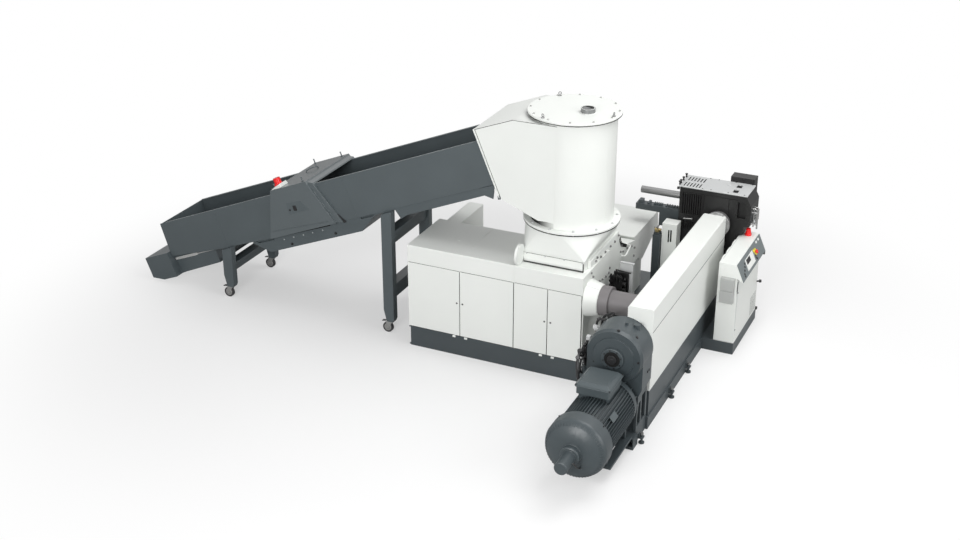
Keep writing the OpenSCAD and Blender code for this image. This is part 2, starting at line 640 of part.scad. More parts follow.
// Gearbox: a round housing that runs down into a narrow foot, and the bell of the motor
module gearbox() from_drum() color("#5d666a") difference() {
    union() {
        along_y(screw_x, gear_y + 40, screw_z, gear_back - gear_y - 40, gear_r);
        along_y(screw_x, gear_y, screw_z, 41, gear_r - 18, gear_r);
        along_y(screw_x, gear_y - 14, screw_z, 15, gear_r - 85, gear_r - 79);
        along_depth(gear_y + 46, frame_y0) translate([screw_x, screw_z])
            polygon([[-gear_r + 3, 0], [-gear_r + 3, -330], [-262, -400], [-150, -400],
                     [-150, frame_h - screw_z], [150, frame_h - screw_z], [150, -400], [262, -400],
                     [gear_r - 3, -330], [gear_r - 3, 0]]);
        // bell with its flange and ribs
        along_y(screw_x, motor_y1, motor_z, 26, motor_r - 8);
        along_y(screw_x, motor_y1 + 25, motor_z, 110, motor_r - 50, motor_r - 80);
        for (a = [-60 : 20 : 240]) translate([screw_x, motor_y1 + 25, motor_z]) rotate([0, -a, 0])
            block([motor_r - 100, -1, -6], [motor_r - 16, 50, 6]);
        // inspection cover and lifting boss on the housing
        translate([screw_x + 60, gear_y + 190, screw_z + gear_r - 40]) cylinder(h = 58, r = 16);
        translate([screw_x + 150, gear_y + 240, screw_z + gear_r - 90]) cylinder(h = 82, r = 34);
    }
    // hollow shaft
    along_y(screw_x, gear_y - 16, screw_z, 170, 74);
}

module gearbox_hub() from_drum() color("#4d5558") difference() {
    along_y(screw_x, gear_y - 44, screw_z, 30, 112, 118);
    along_y(screw_x, gear_y - 45, screw_z, 32, 74);
}

// Lubrication pump and its pipes along the left side of the gearbox
module lube_unit() from_drum() color("#3a4043") {
    block([screw_x - 372, gear_y + 60, 440], [screw_x - 292, gear_y + 170, 640]);
    along_y(screw_x - 335, gear_y + 169, 560, 190, 42);
    block([screw_x - 366, gear_y + 340, 500], [screw_x - 292, gear_y + 430, 622]);
    along_y(screw_x - 338, gear_y + 429, 590, 160, 22);
    translate([screw_x - 335, gear_y + 110, 640 - eps]) cylinder(h = 70, r = 30);
    translate([screw_x - 335, gear_y + 385, 622 - eps]) cylinder(h = 46, r = 24);
}

// Foot-mounted motor: fins run along its round body, and its feet stand off below
module motor() from_drum() color("#5d666a") {
    along_y(screw_x, motor_y0, motor_z, motor_l, motor_core);
    along_y(screw_x, motor_y1 - 46, motor_z, 46, motor_r - 4);
    for (i = [0 : fin_n - 1]) translate([screw_x, motor_y0 + 30, motor_z]) rotate([-90, 0, 0])
        rotate([0, 0, i * 360 / fin_n])
            translate([motor_core - 6, -2.5, 0]) cube([motor_r - motor_core + 6, 5, motor_l - 90]);
    block([screw_x - 180, motor_y1 - 400, motor_z + 200], [screw_x + 130, motor_y1 - 90, box_z]);
    for (s = [-1, 1]) {
        block([screw_x + s * 225 - 45, motor_y0 + 90, motor_z - 315],
              [screw_x + s * 225 + 45, motor_y1 - 60, motor_z - 291]);
        for (y = [motor_y0 + 120, motor_y1 - 130])
            block([screw_x + s * 205 - 14, y, motor_z - 292],
                  [screw_x + s * 205 + 14, y + 40, motor_z - 130]);
    }
}

// Domed cowl over the motor's fan, with the speed sensor on its axis
module fan_cowl() from_drum() color("#5d666a")
    translate([screw_x, motor_y0, motor_z]) rotate([90, 0, 0]) rotate_extrude()
        polygon([[0, 0], [cowl_r, 0], [cowl_r, cowl_l], [cowl_r - 13, cowl_l + 36],
                 [cowl_r - 51, cowl_l + 76], [cowl_r - 113, cowl_l + 106], [cowl_r - 170, cowl_l + 118],
                 [98, cowl_l + 122], [98, cowl_l + 176], [86, cowl_l + 182], [66, cowl_l + 182],
                 [66, cowl_l + 396], [60, cowl_l + 402], [0, cowl_l + 402]]);

module terminal_box() from_drum() color("#4d5558") {
    block([screw_x - 199, motor_y1 - 432, box_z], [screw_x + 143, motor_y1 - 70, box_z + 96]);
    block([screw_x - 213, motor_y1 - 446, box_z + 95], [screw_x + 157, motor_y1 - 56, box_z + 118]);
    block([screw_x - 205, motor_y1 - 438, box_z + 117], [screw_x + 149, motor_y1 - 64, box_z + 130]);
}

// Outline of the pelletizer housing seen from the front, with a step over the control panel
module pelletizer_case() along_depth(pel_y0, pel_y1)
    polygon([[pel_x0, pel_z0], [pel_x0, pel_z1], [pel_x1 - 60, pel_z1], [pel_x1, pel_z1 - 115],
             [pel_x1, pel_z1 - 360], [pel_x1 - 70, pel_z1 - 375], [pel_x1 - 70, panel_z1 + 20],
             [panel_x0 - 20, panel_z1 + 10], [panel_x0 - 20, pel_z0]]);

// Cutter and melt pump housing, with slats, panels and a window on its front
module pelletizer_body() from_drum() color("#1e2021") difference() {
    union() {
        pelletizer_case();
        // hood of the knives' drive at the rear
        block([pel_x0 + 490, pel_y1 - eps, pel_z1 - 300], [pel_x1 - 65, pel_y1 + 150, pel_z1 + 75]);
    }
    for (i = [0 : 8], z = [[323, 69], [510, 410]])
        block([pel_x0 + 39 + i * 26, pel_y0 - 1, pel_z1 - z[0]],
              [pel_x0 + 52 + i * 26, pel_y0 + 22, pel_z1 - z[1]]);
    // seams of the top band and of the middle panel
    block([pel_x0 - 1, pel_y0 - 1, pel_z1 - 59], [pel_x1 - 150, pel_y0 + 6, pel_z1 - 54]);
    for (x = [pel_x0 + 288, pel_x0 + 577])
        block([x, pel_y0 - 1, pel_z1 - 266], [x + 5, pel_y0 + 8, pel_z1 - 58]);
    block([pel_x0 + 288, pel_y0 - 1, pel_z1 - 266], [pel_x0 + 582, pel_y0 + 8, pel_z1 - 261]);
    // recessed window
    block([pel_x0 + 684, pel_y0 - 1, pel_z1 - 272], [pel_x0 + 780, pel_y0 + 45, pel_z1 - 79]);
}

// Light grey top plate with two rows of slots and two windows
module pelletizer_top() from_drum() color("#b9bcbd") difference() {
    block([pel_x0 - 12, pel_y0 - 12, pel_z1], [pel_x1 - 48, pel_y1 - 1, pel_z1 + 14]);
    for (i = [0 : 5], y = [pel_y0 + 12, pel_y0 + 188])
        block([pel_x0 + 28 + i * 36, y, pel_z1 + 5], [pel_x0 + 44 + i * 36, y + 128, pel_z1 + 20]);
    for (y = [pel_y0 + 40, pel_y0 + 199])
        block([pel_x0 + 596, y, pel_z1 - 1], [pel_x0 + 659, y + 96, pel_z1 + 20]);
}

module melt_flange() from_drum() color("#8b8d8e") {
    along_y(screw_x + 177, cover_y1, 1235, 32, 148);
    along_y(screw_x + 177, cover_y1 + 31, 1235, pel_y0 - cover_y1 - 31, 132);
}

module side_guard() from_drum() color("#c8d4d8")
    block([pel_x1, pel_y0 + 120, pel_z1 - 355], [pel_x1 + 52, pel_y0 + 128, pel_z1 - 190]);

// Bent rods of the guard's handle
module side_handle() from_drum() color("#8b8d8e") {
    for (z = [pel_z1 - 200, pel_z1 - 340]) along_x(pel_x1, pel_y0 + 60, z, 76, 9);
    translate([pel_x1 + 70, pel_y0 + 60, pel_z1 - 390]) cylinder(h = 240, r = 9);
    translate([pel_x1 + 28, pel_y0 + 60, pel_z1 - 372]) cylinder(h = 200, r = 7);
}

module rear_pipe() from_drum() color("#7c7f80") {
    along_x(pel_x0 - 530, pel_y0 + 230, pel_z1 - 205, 530, 42);
    along_x(pel_x0 - 26, pel_y0 + 230, pel_z1 - 205, 26, 60);
}

// Rail for the screen changer, with an end block and small cams on its top
module rear_beam() from_drum() color("#2c3235") {
    along_depth(pel_y0 + 80, pel_y0 + 190)
        polygon([[pel_x0 - 546, 1190], [pel_x0 - 546, 1262], [pel_x0, 1262], [pel_x0, 1030],
                 [pel_x0 - 255, 1030], [pel_x0 - 255, 1190]]);
    block([pel_x0 - 520, pel_y0 + 90, 1262 - eps], [pel_x0 - 470, pel_y0 + 180, 1300]);
    block([pel_x0 - 410, pel_y0 + 90, 1262 - eps], [pel_x0 - 380, pel_y0 + 180, 1286]);
    for (i = [0 : 5]) block([pel_x0 - 190 + i * 30, pel_y0 + 100, 1262 - eps],
                            [pel_x0 - 176 + i * 30, pel_y0 + 170, 1280]);
}

module filter_cabinet() from_drum() color("#eef1ee") difference() {
    block([pel_x0 - 128, pel_y0 - 190, 140], [pel_x0 + 47, pel_y0 - 32, 1185]);
    block([pel_x0 - 30, pel_y0 - 191, 960], [pel_x0 - 10, pel_y0 - 182, 1110]);
}

module panel_body() from_drum() color("#f2f4f2") {
    along_depth(panel_y0, panel_y1)
        polygon([[panel_x0, panel_base_h], [panel_x0, panel_z1], [panel_x1 - 40, panel_z1],
                 [panel_x1 + 53, panel_z1 - 208], [panel_x1 - 17, panel_z1 - 165],
                 [panel_x1, panel_base_h]]);
    // hinge strips along its left top edge
    for (y = [120, 330, 560]) block([panel_x0 - 12, panel_y0 + y, panel_z1 - 40],
                                    [panel_x0 + eps, panel_y0 + y + 120, panel_z1 - 6]);
}

module panel_desk() from_drum() color("#7d8688")
    translate([panel_x1 - 40, 0, panel_z1]) rotate([0, atan2(208, 93), 0])
        block([6, panel_y0 + 8, 0], [222, panel_y1 - 8, 7]);

module panel_beacon() from_drum() color("#d22020")
    translate([panel_x0 + 95, panel_y1 - 109, panel_z1]) {
        cylinder(h = 22, r = 38);
        translate([0, 0, 22 - eps]) cylinder(h = 63, r1 = 32, r2 = 24);
    }

// Two lidded socket boxes, one above the other
module socket_box() from_drum() color("#a9adae") difference() {
    block([panel_x0 + 42, panel_y0 - 58, panel_z1 - 456], [panel_x0 + 195, panel_y0, panel_z1 - 161]);
    block([panel_x0 + 41, panel_y0 - 59, panel_z1 - 312],
          [panel_x0 + 196, panel_y0 - 50, panel_z1 - 306]);
}

base_frame();
cabinet_shell();
door_1();
door_2();
door_3();
door_4();
rear_duct();
hopper_base();
side_plate();
rear_housing();
rear_box();
drum_flange();
drum_shell();
chute();
lid();
trough_near_wall();
trough_far_wall();
belt_bed();
conveyor_belt();
tail_box();
tensioner_1();
tensioner_2();
detector_hood();
detector_beacon();
under_pan();
short_leg_frame();
tall_leg_frame();
caster_fork_1();
caster_fork_2();
caster_fork_3();
caster_fork_4();
caster_wheel_1();
caster_wheel_2();
caster_wheel_3();
caster_wheel_4();
intake_cone();
intake_pipe();
valve_block();
extruder_frame();
barrel_cover();
gearbox();
gearbox_hub();
lube_unit();
motor();
fan_cowl();
terminal_box();
pelletizer_body();
pelletizer_top();
melt_flange();
side_guard();
side_handle();
rear_pipe();
rear_beam();
filter_cabinet();
panel_body();
panel_desk();
panel_beacon();
socket_box();
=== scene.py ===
# %% [markdown]
# # A plastic pelletizing machine, dressed in Blender
# The machine's solids come from CAD: their sizes and places are fixed. This script only gives
# them their looks. Each step first says what the real thing is, then how it is made here.
# Everything is in metres, with the floor at z = 0 and the drum standing over the origin.

# %% Load the fixed frame
import json
import math
import random

import bmesh
import bpy
from mathutils import Matrix, Vector

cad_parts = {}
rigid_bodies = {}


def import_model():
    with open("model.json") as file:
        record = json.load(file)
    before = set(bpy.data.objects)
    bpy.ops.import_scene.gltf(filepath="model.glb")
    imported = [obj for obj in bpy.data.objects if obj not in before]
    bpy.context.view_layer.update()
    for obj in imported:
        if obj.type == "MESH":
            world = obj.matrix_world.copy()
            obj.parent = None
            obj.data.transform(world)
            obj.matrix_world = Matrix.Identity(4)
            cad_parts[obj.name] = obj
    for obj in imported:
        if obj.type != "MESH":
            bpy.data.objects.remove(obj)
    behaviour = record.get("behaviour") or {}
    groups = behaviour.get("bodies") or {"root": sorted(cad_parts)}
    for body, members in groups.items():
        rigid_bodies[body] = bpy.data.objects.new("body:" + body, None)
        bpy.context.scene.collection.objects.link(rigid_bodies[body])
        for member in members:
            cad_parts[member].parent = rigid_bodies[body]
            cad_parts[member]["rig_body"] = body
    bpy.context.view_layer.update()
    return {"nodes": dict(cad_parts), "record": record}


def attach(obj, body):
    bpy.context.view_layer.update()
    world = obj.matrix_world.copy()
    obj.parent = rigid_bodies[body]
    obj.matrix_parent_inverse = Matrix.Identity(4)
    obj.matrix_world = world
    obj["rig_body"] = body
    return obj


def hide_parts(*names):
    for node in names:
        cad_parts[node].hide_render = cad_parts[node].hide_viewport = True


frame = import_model()
nodes = frame["nodes"]
scene = bpy.context.scene
random.seed(7)

# %% [markdown]
# ## The photograph's point of view
# The picture was taken from high up in front of the machine and to its right, with a fairly
# long lens. The camera's place, heading and lens were solved from the machine's own straight
# edges, so the render can be laid over the photograph.

# %% Camera
camera_data = bpy.data.cameras.new("camera")
camera_data.lens = 51.906
camera_data.sensor_width = 36.0
camera_data.clip_end = 100.0
camera = bpy.data.objects.new("camera", camera_data)
scene.collection.objects.link(camera)
camera.location = (4.878, -12.897, 7.5)
camera.rotation_euler = Vector((-0.3797, 0.8203, -0.4277)).to_track_quat("-Z", "Y").to_euler()
scene.camera = camera
print("camera at", tuple(round(c, 3) for c in camera.location))

# %% [markdown]
# ## Studio light
# The machine stands in a white studio. Most of the light falls from a big soft panel overhead,
# so tops are bright and whatever lies under the conveyor or the flange is shaded. Two more
# panels light the upright fronts and the right-hand sides, and a pale world fills the rest. The world
# is pure white to the camera and in reflections, and dimmer as a light, so that white paint
# keeps its shape instead of melting into the background.

# %% World
scene.view_settings.view_transform = "Standard"
world = bpy.data.worlds.new("studio")
scene.world = world
world.use_nodes = True
wn, wl = world.node_tree.nodes, world.node_tree.links
wn.clear()
w_out = wn.new("ShaderNodeOutputWorld")
w_mix = wn.new("ShaderNodeMixShader")
w_path = wn.new("ShaderNodeLightPath")
w_any = wn.new("ShaderNodeMath"); w_any.operation = "MAXIMUM"
w_any2 = wn.new("ShaderNodeMath"); w_any2.operation = "MAXIMUM"
w_light = wn.new("ShaderNodeBackground"); w_light.inputs["Strength"].default_value = 0.36
w_light.inputs["Color"].default_value = (1, 1, 1, 1)
w_seen = wn.new("ShaderNodeBackground"); w_seen.inputs["Strength"].default_value = 1.0
w_seen.inputs["Color"].default_value = (1, 1, 1, 1)
wl.new(w_path.outputs["Is Camera Ray"], w_any.inputs[0])
wl.new(w_path.outputs["Is Glossy Ray"], w_any.inputs[1])
wl.new(w_any.outputs[0], w_any2.inputs[0])
wl.new(w_path.outputs["Is Transmission Ray"], w_any2.inputs[1])
wl.new(w_any2.outputs[0], w_mix.inputs["Fac"])
wl.new(w_light.outputs[0], w_mix.inputs[1])
wl.new(w_seen.outputs[0], w_mix.inputs[2])
wl.new(w_mix.outputs[0], w_out.inputs["Surface"])


# %% Lamps
def lamp(name, place, target, size, power):
    """A square area lamp at place that looks at target."""
    data = bpy.data.lights.new(name, "AREA")
    data.size = size
    data.energy = power
    lamp_object = bpy.data.objects.new(name, data)
    scene.collection.objects.link(lamp_object)
    lamp_object.location = place
    aim = (Vector(target) - Vector(place)).to_track_quat("-Z", "Y")
    lamp_object.rotation_euler = aim.to_euler()
    return lamp_object


lamp("overhead_panel", (3.0, 1.2, 9.0), (-0.2, 0.3, 0.0), 6.0, 440.0)
lamp("front_panel", (0.2, -12.0, 5.5), (-0.4, 0.0, 1.0), 6.0, 910.0)
lamp("right_panel", (11.0, -3.0, 5.0), (0.5, 0.0, 1.0), 6.0, 430.0)
print("lamps placed")

# %% [markdown]
# ## The floor
# The floor is one big sheet. Near the machine it is matt white and takes a soft shadow. Further
# out it turns, by its own distance from the machine, into the same white as the background, so
# that no horizon shows. The rising glow is seen by the camera only: it lights nothing.

# %% Floor
floor_mesh = bpy.data.meshes.new("floor")
floor_mesh.from_pydata([(-60, -60, 0), (60, -60, 0), (60, 60, 0), (-60, 60, 0)], [], [(0, 1, 2, 3)])
floor = bpy.data.objects.new("floor", floor_mesh)
scene.collection.objects.link(floor)
floor_paint = bpy.data.materials.new("studio_floor")
floor_paint.use_nodes = True
fn, fl = floor_paint.node_tree.nodes, floor_paint.node_tree.links
fn.clear()
f_out = fn.new("ShaderNodeOutputMaterial")
f_diffuse = fn.new("ShaderNodeBsdfDiffuse")
f_diffuse.inputs["Color"].default_value = (0.52, 0.52, 0.52, 1)
f_glow = fn.new("ShaderNodeEmission")
f_white = fn.new("ShaderNodeEmission")
f_path = fn.new("ShaderNodeLightPath")
f_add = fn.new("ShaderNodeAddShader")
f_scale = fn.new("ShaderNodeMath"); f_scale.operation = "MULTIPLY"
f_scale.inputs[1].default_value = 0.40
f_coords = fn.new("ShaderNodeTexCoord")
f_length = fn.new("ShaderNodeVectorMath"); f_length.operation = "DISTANCE"
f_length.inputs[1].default_value = (-0.8, -0.3, 0.0)
f_fade = fn.new("ShaderNodeMapRange")
f_fade.interpolation_type = "SMOOTHSTEP"
f_fade.inputs["From Min"].default_value = 3.2
f_fade.inputs["From Max"].default_value = 6.4
f_far = fn.new("ShaderNodeMath"); f_far.operation = "MULTIPLY"
f_mix = fn.new("ShaderNodeMixShader")
fl.new(f_path.outputs["Is Camera Ray"], f_scale.inputs[0])
fl.new(f_scale.outputs[0], f_glow.inputs["Strength"])
fl.new(f_diffuse.outputs[0], f_add.inputs[0])
fl.new(f_glow.outputs[0], f_add.inputs[1])
fl.new(f_coords.outputs["Object"], f_length.inputs[0])
fl.new(f_length.outputs["Value"], f_fade.inputs["Value"])
fl.new(f_fade.outputs["Result"], f_far.inputs[0])
fl.new(f_path.outputs["Is Camera Ray"], f_far.inputs[1])
fl.new(f_far.outputs[0], f_mix.inputs["Fac"])
fl.new(f_add.outputs[0], f_mix.inputs[1])
fl.new(f_white.outputs[0], f_mix.inputs[2])
fl.new(f_mix.outputs[0], f_out.inputs["Surface"])
floor_mesh.materials.append(floor_paint)

# %% [markdown]
# ## Paints and metals
# Almost everything here is powder-coated sheet. A powder coat is an even colour with a very
# fine orange-peel skin, a little dust, and edges that look a shade lighter. One maker function
# gives all the paints these traits in different amounts, so that they look like one family.
# Colour clouds are driven by a coarse noise, the skin by a fine one, and the rubbed edges by
# the Pointiness of the surface. A flat colour would look like plastic film instead.


# %% Finish maker
def finish(name, colour, rough=0.45, vary=0.06, peel=0.15, peel_size=260.0, metal=0.0, coat=0.0,
           edge=0.12, spec=0.5, grain=None):
    """A painted or metal surface: colour clouds, fine skin bump, rubbed edges."""
    m = bpy.data.materials.new(name)
    m.use_nodes = True
    n, l = m.node_tree.nodes, m.node_tree.links
    n.clear()
    out = n.new("ShaderNodeOutputMaterial")
    bsdf = n.new("ShaderNodeBsdfPrincipled")
    coords = n.new("ShaderNodeTexCoord")
    clouds = n.new("ShaderNodeTexNoise")
    clouds.inputs["Scale"].default_value = 2.2
    clouds.inputs["Detail"].default_value = 5.0
    skin = n.new("ShaderNodeTexNoise")
    skin.inputs["Scale"].default_value = peel_size
    skin.inputs["Detail"].default_value = 2.0
    ramp = n.new("ShaderNodeMapRange")
    ramp.inputs["From Min"].default_value = 0.3
    ramp.inputs["From Max"].default_value = 0.7
    ramp.inputs["To Min"].default_value = 1.0 - vary
    ramp.inputs["To Max"].default_value = 1.0 + vary
    tint = n.new("ShaderNodeMix"); tint.data_type = "RGBA"; tint.blend_type = "MULTIPLY"
    tint.inputs["Factor"].default_value = 1.0
    tint.inputs["A"].default_value = (*colour, 1)
    geo = n.new("ShaderNodeNewGeometry")
    rub = n.new("ShaderNodeMapRange")
    rub.inputs["From Min"].default_value = 0.52
    rub.inputs["From Max"].default_value = 0.62
    rub.inputs["To Min"].default_value = 0.0
    rub.inputs["To Max"].default_value = edge
    worn = n.new("ShaderNodeMix"); worn.data_type = "RGBA"
    worn.inputs["B"].default_value = (*[min(0.9, c * 1.5 + 0.05) for c in colour], 1)
    shine = n.new("ShaderNodeMapRange")
    shine.inputs["To Min"].default_value = rough - 0.06
    shine.inputs["To Max"].default_value = rough + 0.08
    bump = n.new("ShaderNodeBump")
    bump.inputs["Strength"].default_value = peel
    bump.inputs["Distance"].default_value = 0.0004
    l.new(coords.outputs["Object"], clouds.inputs["Vector"])
    if grain:
        stretch = n.new("ShaderNodeMapping")
        stretch.inputs["Scale"].default_value = grain
        l.new(coords.outputs["Object"], stretch.inputs["Vector"])
        l.new(stretch.outputs["Vector"], skin.inputs["Vector"])
    else:
        l.new(coords.outputs["Object"], skin.inputs["Vector"])
    l.new(clouds.outputs["Fac"], ramp.inputs["Value"])
    l.new(ramp.outputs["Result"], tint.inputs["B"])
    l.new(geo.outputs["Pointiness"], rub.inputs["Value"])
    l.new(rub.outputs["Result"], worn.inputs["Factor"])
    l.new(tint.outputs["Result"], worn.inputs["A"])
    l.new(worn.outputs["Result"], bsdf.inputs["Base Color"])
    l.new(clouds.outputs["Fac"], shine.inputs["Value"])
    l.new(shine.outputs["Result"], bsdf.inputs["Roughness"])
    l.new(skin.outputs["Fac"], bump.inputs["Height"])
    l.new(bump.outputs["Normal"], bsdf.inputs["Normal"])
    l.new(bsdf.outputs["BSDF"], out.inputs["Surface"])
    bsdf.inputs["Metallic"].default_value = metal
    bsdf.inputs["Coat Weight"].default_value = coat
    bsdf.inputs["Specular IOR Level"].default_value = spec
    return m


# %% The machine's finishes
white_paint = finish("white_powder_coat", (0.80, 0.82, 0.79), rough=0.42, vary=0.015, peel=0.08)
dark_paint = finish("dark_frame_paint", (0.073, 0.090, 0.097), rough=0.38, vary=0.05, peel=0.12)
# Painted shade: a darker copy of the frame paint for the base frames and the rear beam, standing for the shade they sit
# in.
plinth_paint_painted_shade = finish("plinth_paint_painted_shade", (0.056, 0.068, 0.074), rough=0.40, vary=0.05, peel=0.12)
trough_paint = finish("trough_paint", (0.077, 0.094, 0.101), rough=0.4, vary=0.05, peel=0.12)
detector_paint = finish("detector_paint", (0.088, 0.106, 0.113), rough=0.3, vary=0.04, peel=0.1,
                        coat=0.4)
# Pale grey: painted highlight on the trough's wall edges, and the own colour of the belly pan rivets.
edge_highlight_and_rivet_paint = finish("painted_edge_highlight_and_rivet_grey", (0.34, 0.36, 0.36), rough=0.4, vary=0.1, peel=0.1)
drive_paint = finish("drive_grey_paint", (0.047, 0.060, 0.066), rough=0.38, vary=0.07, peel=0.3,
                     peel_size=160.0)
box_paint = finish("terminal_box_paint", (0.060, 0.076, 0.082), rough=0.42, vary=0.05, peel=0.35,
                   peel_size=180.0)
plate_grey = finish("damper_plate", (0.20, 0.205, 0.205), rough=0.4, vary=0.08, metal=0.5)
# Dark joints, and also the painted shadow strip under the hopper panel's lip.
joint_shadow = finish("joint_and_painted_shadow_dark", (0.05, 0.052, 0.05), rough=0.8, vary=0.1, spec=0.2)
vent_shadow = finish("vent_shadow", (0.16, 0.17, 0.17), rough=0.7, vary=0.1, spec=0.2)
# Near-black: painted shade in the pelletizer's slots, the slot above the belly pan, the drive slot, the hub bore and
# the rings under lid, flange and butterfly plate; also the black of the door seals and the pull's slots.
shade_and_seal_black = finish("painted_shade_and_seal_black", (0.006, 0.006, 0.006), rough=0.8, vary=0.1, spec=0.2)
light_paint = finish("light_grey_paint", (0.50, 0.51, 0.51), rough=0.45, vary=0.03)
desk_paint = finish("desk_grey_paint", (0.145, 0.168, 0.172), rough=0.42, vary=0.03)
black_paint = finish("black_housing_paint", (0.0085, 0.0085, 0.0085), rough=0.42, vary=0.1, peel=0.4,
                     spec=0.35)
pipe_steel = finish("intake_pipe_paint", (0.175, 0.165, 0.168), rough=0.5, vary=0.05, peel=0.2)
plain_steel = finish("turned_steel", (0.30, 0.30, 0.30), rough=0.36, vary=0.08, metal=0.6,
                     peel=0.3, peel_size=60.0, grain=(1.0, 14.0, 14.0))
bolt_steel = finish("bolt_steel", (0.26, 0.26, 0.26), rough=0.34, vary=0.12, metal=0.8, peel=0.2)
black_oxide = finish("black_oxide_bolts", (0.02, 0.02, 0.021), rough=0.4, vary=0.12, metal=0.3)
belt_rubber = finish("belt_rubber", (0.022, 0.023, 0.024), rough=0.75, vary=0.2, peel=0.8,
                     peel_size=420.0, spec=0.3)
tyre_rubber = finish("caster_rubber", (0.05, 0.05, 0.052), rough=0.7, vary=0.15, spec=0.35)
zinc = finish("zinc_plate", (0.46, 0.46, 0.45), rough=0.34, vary=0.08, metal=0.8,
              peel=0.3, peel_size=90.0)
bright_zinc = finish("bright_zinc", (0.60, 0.60, 0.59), rough=0.32, vary=0.05, metal=0.45, peel=0.2)
brass = finish("brass_fitting", (0.42, 0.33, 0.16), rough=0.35, vary=0.1, metal=0.8)
red_lens = finish("red_signal_plastic", (0.80, 0.008, 0.008), rough=0.25, vary=0.03, coat=0.3)
yellow_plastic = finish("yellow_plastic", (0.78, 0.70, 0.06), rough=0.4, vary=0.03)
grey_plastic = finish("grey_box_plastic", (0.40, 0.41, 0.40), rough=0.5, vary=0.03)
screen_glass = finish("dark_screen", (0.012, 0.013, 0.015), rough=0.12, vary=0.05, peel=0.0)
print("finishes made:", len(bpy.data.materials))

# %% [markdown]
# ## Dressing the CAD solids
# A CAD solid has knife-sharp edges. Real sheet is folded over a radius and real castings are
# rounded, and it is the thin highlight on such an edge that tells the eye its size. So each
# solid is copied, its triangles are merged into clean faces, and a small bevel goes on its
# edges. Castings get a wider bevel than folded sheet. The copy then stands for the solid,
# which stays behind it for the physics. Weighted normals keep the flat faces flat beside it.


# %% Dresser
def body_of(node):
    return nodes[node]["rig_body"]


def dress(node, material, radius=0.003, segments=2):
    """A copy of a CAD node with clean faces and softly rounded edges."""
    work = bmesh.new()
    work.from_mesh(nodes[node].data)
    bmesh.ops.remove_doubles(work, verts=work.verts, dist=2e-5)
    bmesh.ops.dissolve_limit(work, angle_limit=math.radians(0.5), verts=work.verts,
                             edges=work.edges, delimit={"NORMAL"})
    for edge in work.edges:
        angle = edge.calc_face_angle(0.0) if len(edge.link_faces) == 2 else 0.0
        edge.smooth = angle < math.radians(26)
    for face in work.faces:
        face.smooth = True
    mesh = bpy.data.meshes.new(node + "_skin")
    work.to_mesh(mesh)
    work.free()
    mesh.materials.append(material)
    piece = bpy.data.objects.new(node + "_skin", mesh)
    scene.collection.objects.link(piece)
    if radius > 0:
        bevel = piece.modifiers.new("soft_edges", "BEVEL")
        bevel.width = radius
        bevel.segments = segments
        bevel.limit_method = "ANGLE"
        bevel.angle_limit = math.radians(28)
        bevel.use_clamp_overlap = True
        flat = piece.modifiers.new("flat_faces", "WEIGHTED_NORMAL")
        flat.keep_sharp = True
        flat.weight = 80
    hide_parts(node)
    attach(piece, body_of(node))
    return piece


record_slot = {s["node"]: s["material_slot"] for s in frame["record"]["subparts"]}
paint_of = {
    "white_paint": white_paint, "dark_paint": dark_paint, "drive_paint": drive_paint,
    "light_grey_paint": light_paint, "black_paint": black_paint, "steel": plain_steel,
    "belt_rubber": belt_rubber, "caster_rubber": tyre_rubber, "zinc": zinc,
    "red_plastic": red_lens, "grey_plastic": grey_plastic,
}
own_paint = {
    "trough_near_wall": trough_paint, "trough_far_wall": trough_paint, "panel_desk": desk_paint,
    "detector_hood": detector_paint, "base_frame": plinth_paint_painted_shade, "extruder_frame": plinth_paint_painted_shade,
    "rear_beam": plinth_paint_painted_shade, "intake_pipe": pipe_steel, "terminal_box": box_paint,
    "belt_bed": dark_paint, "tensioner_1": bright_zinc, "tensioner_2": bright_zinc,
}
own_radius = {
    "gearbox": 0.007, "fan_cowl": 0.006, "gearbox_hub": 0.006,
    "barrel_cover": 0.008, "panel_body": 0.005, "lid": 0.006, "drum_flange": 0.005,
    "motor": 0.0012, "socket_box": 0.006, "hopper_base": 0.005, "side_plate": 0.004,
    "intake_cone": 0.006, "intake_pipe": 0.006, "tail_box": 0.005,
}

# %% Dress every solid
dressed = {}
for node, slot in sorted(record_slot.items()):
    if slot in paint_of and node != "terminal_box":
        paint = own_paint.get(node, paint_of[slot])
        dressed[node] = dress(node, paint, radius=own_radius.get(node, 0.003))
print("dressed solids:", len(dressed))

# %% [markdown]
# ## The clear guard
# The pelletizer's side has a clear plastic guard. A thin sheet of it shows mostly what is
# behind, with a faint tint, so it is one glassy material on the CAD solid itself.

# %% Clear guard
guard_clear = bpy.data.materials.new("clear_guard")
guard_clear.use_nodes = True
gn = guard_clear.node_tree.nodes
gb = gn["Principled BSDF"]
g_coords = gn.new("ShaderNodeTexCoord")
g_haze = gn.new("ShaderNodeTexNoise")
g_haze.inputs["Scale"].default_value = 30.0
g_tint = gn.new("ShaderNodeMapRange")
g_tint.inputs["To Min"].default_value = 0.06
g_tint.inputs["To Max"].default_value = 0.16
guard_clear.node_tree.links.new(g_coords.outputs["Object"], g_haze.inputs["Vector"])
guard_clear.node_tree.links.new(g_haze.outputs["Fac"], g_tint.inputs["Value"])
guard_clear.node_tree.links.new(g_tint.outputs["Result"], gb.inputs["Roughness"])
gb.inputs["Base Color"].default_value = (0.8, 0.86, 0.88, 1)
gb.inputs["Transmission Weight"].default_value = 0.9
gb.inputs["Alpha"].default_value = 0.45
nodes["side_guard"].data.materials.clear()
nodes["side_guard"].data.materials.append(guard_clear)

# %% [markdown]
# ## Where things are
# The small parts below are placed in millimetres from the cabinet's front left bottom corner,
# because that is how a fitter would measure them with a tape. Things on the conveyor are
# measured along its slope instead: u runs up the belt and v stands square to it. Two short
# functions turn both kinds of measure into the frame's metres.

# %% Tape measures
SLOPE = math.radians(22.000644)
LOW_X, LOW_Z = -3406.944, 362.0


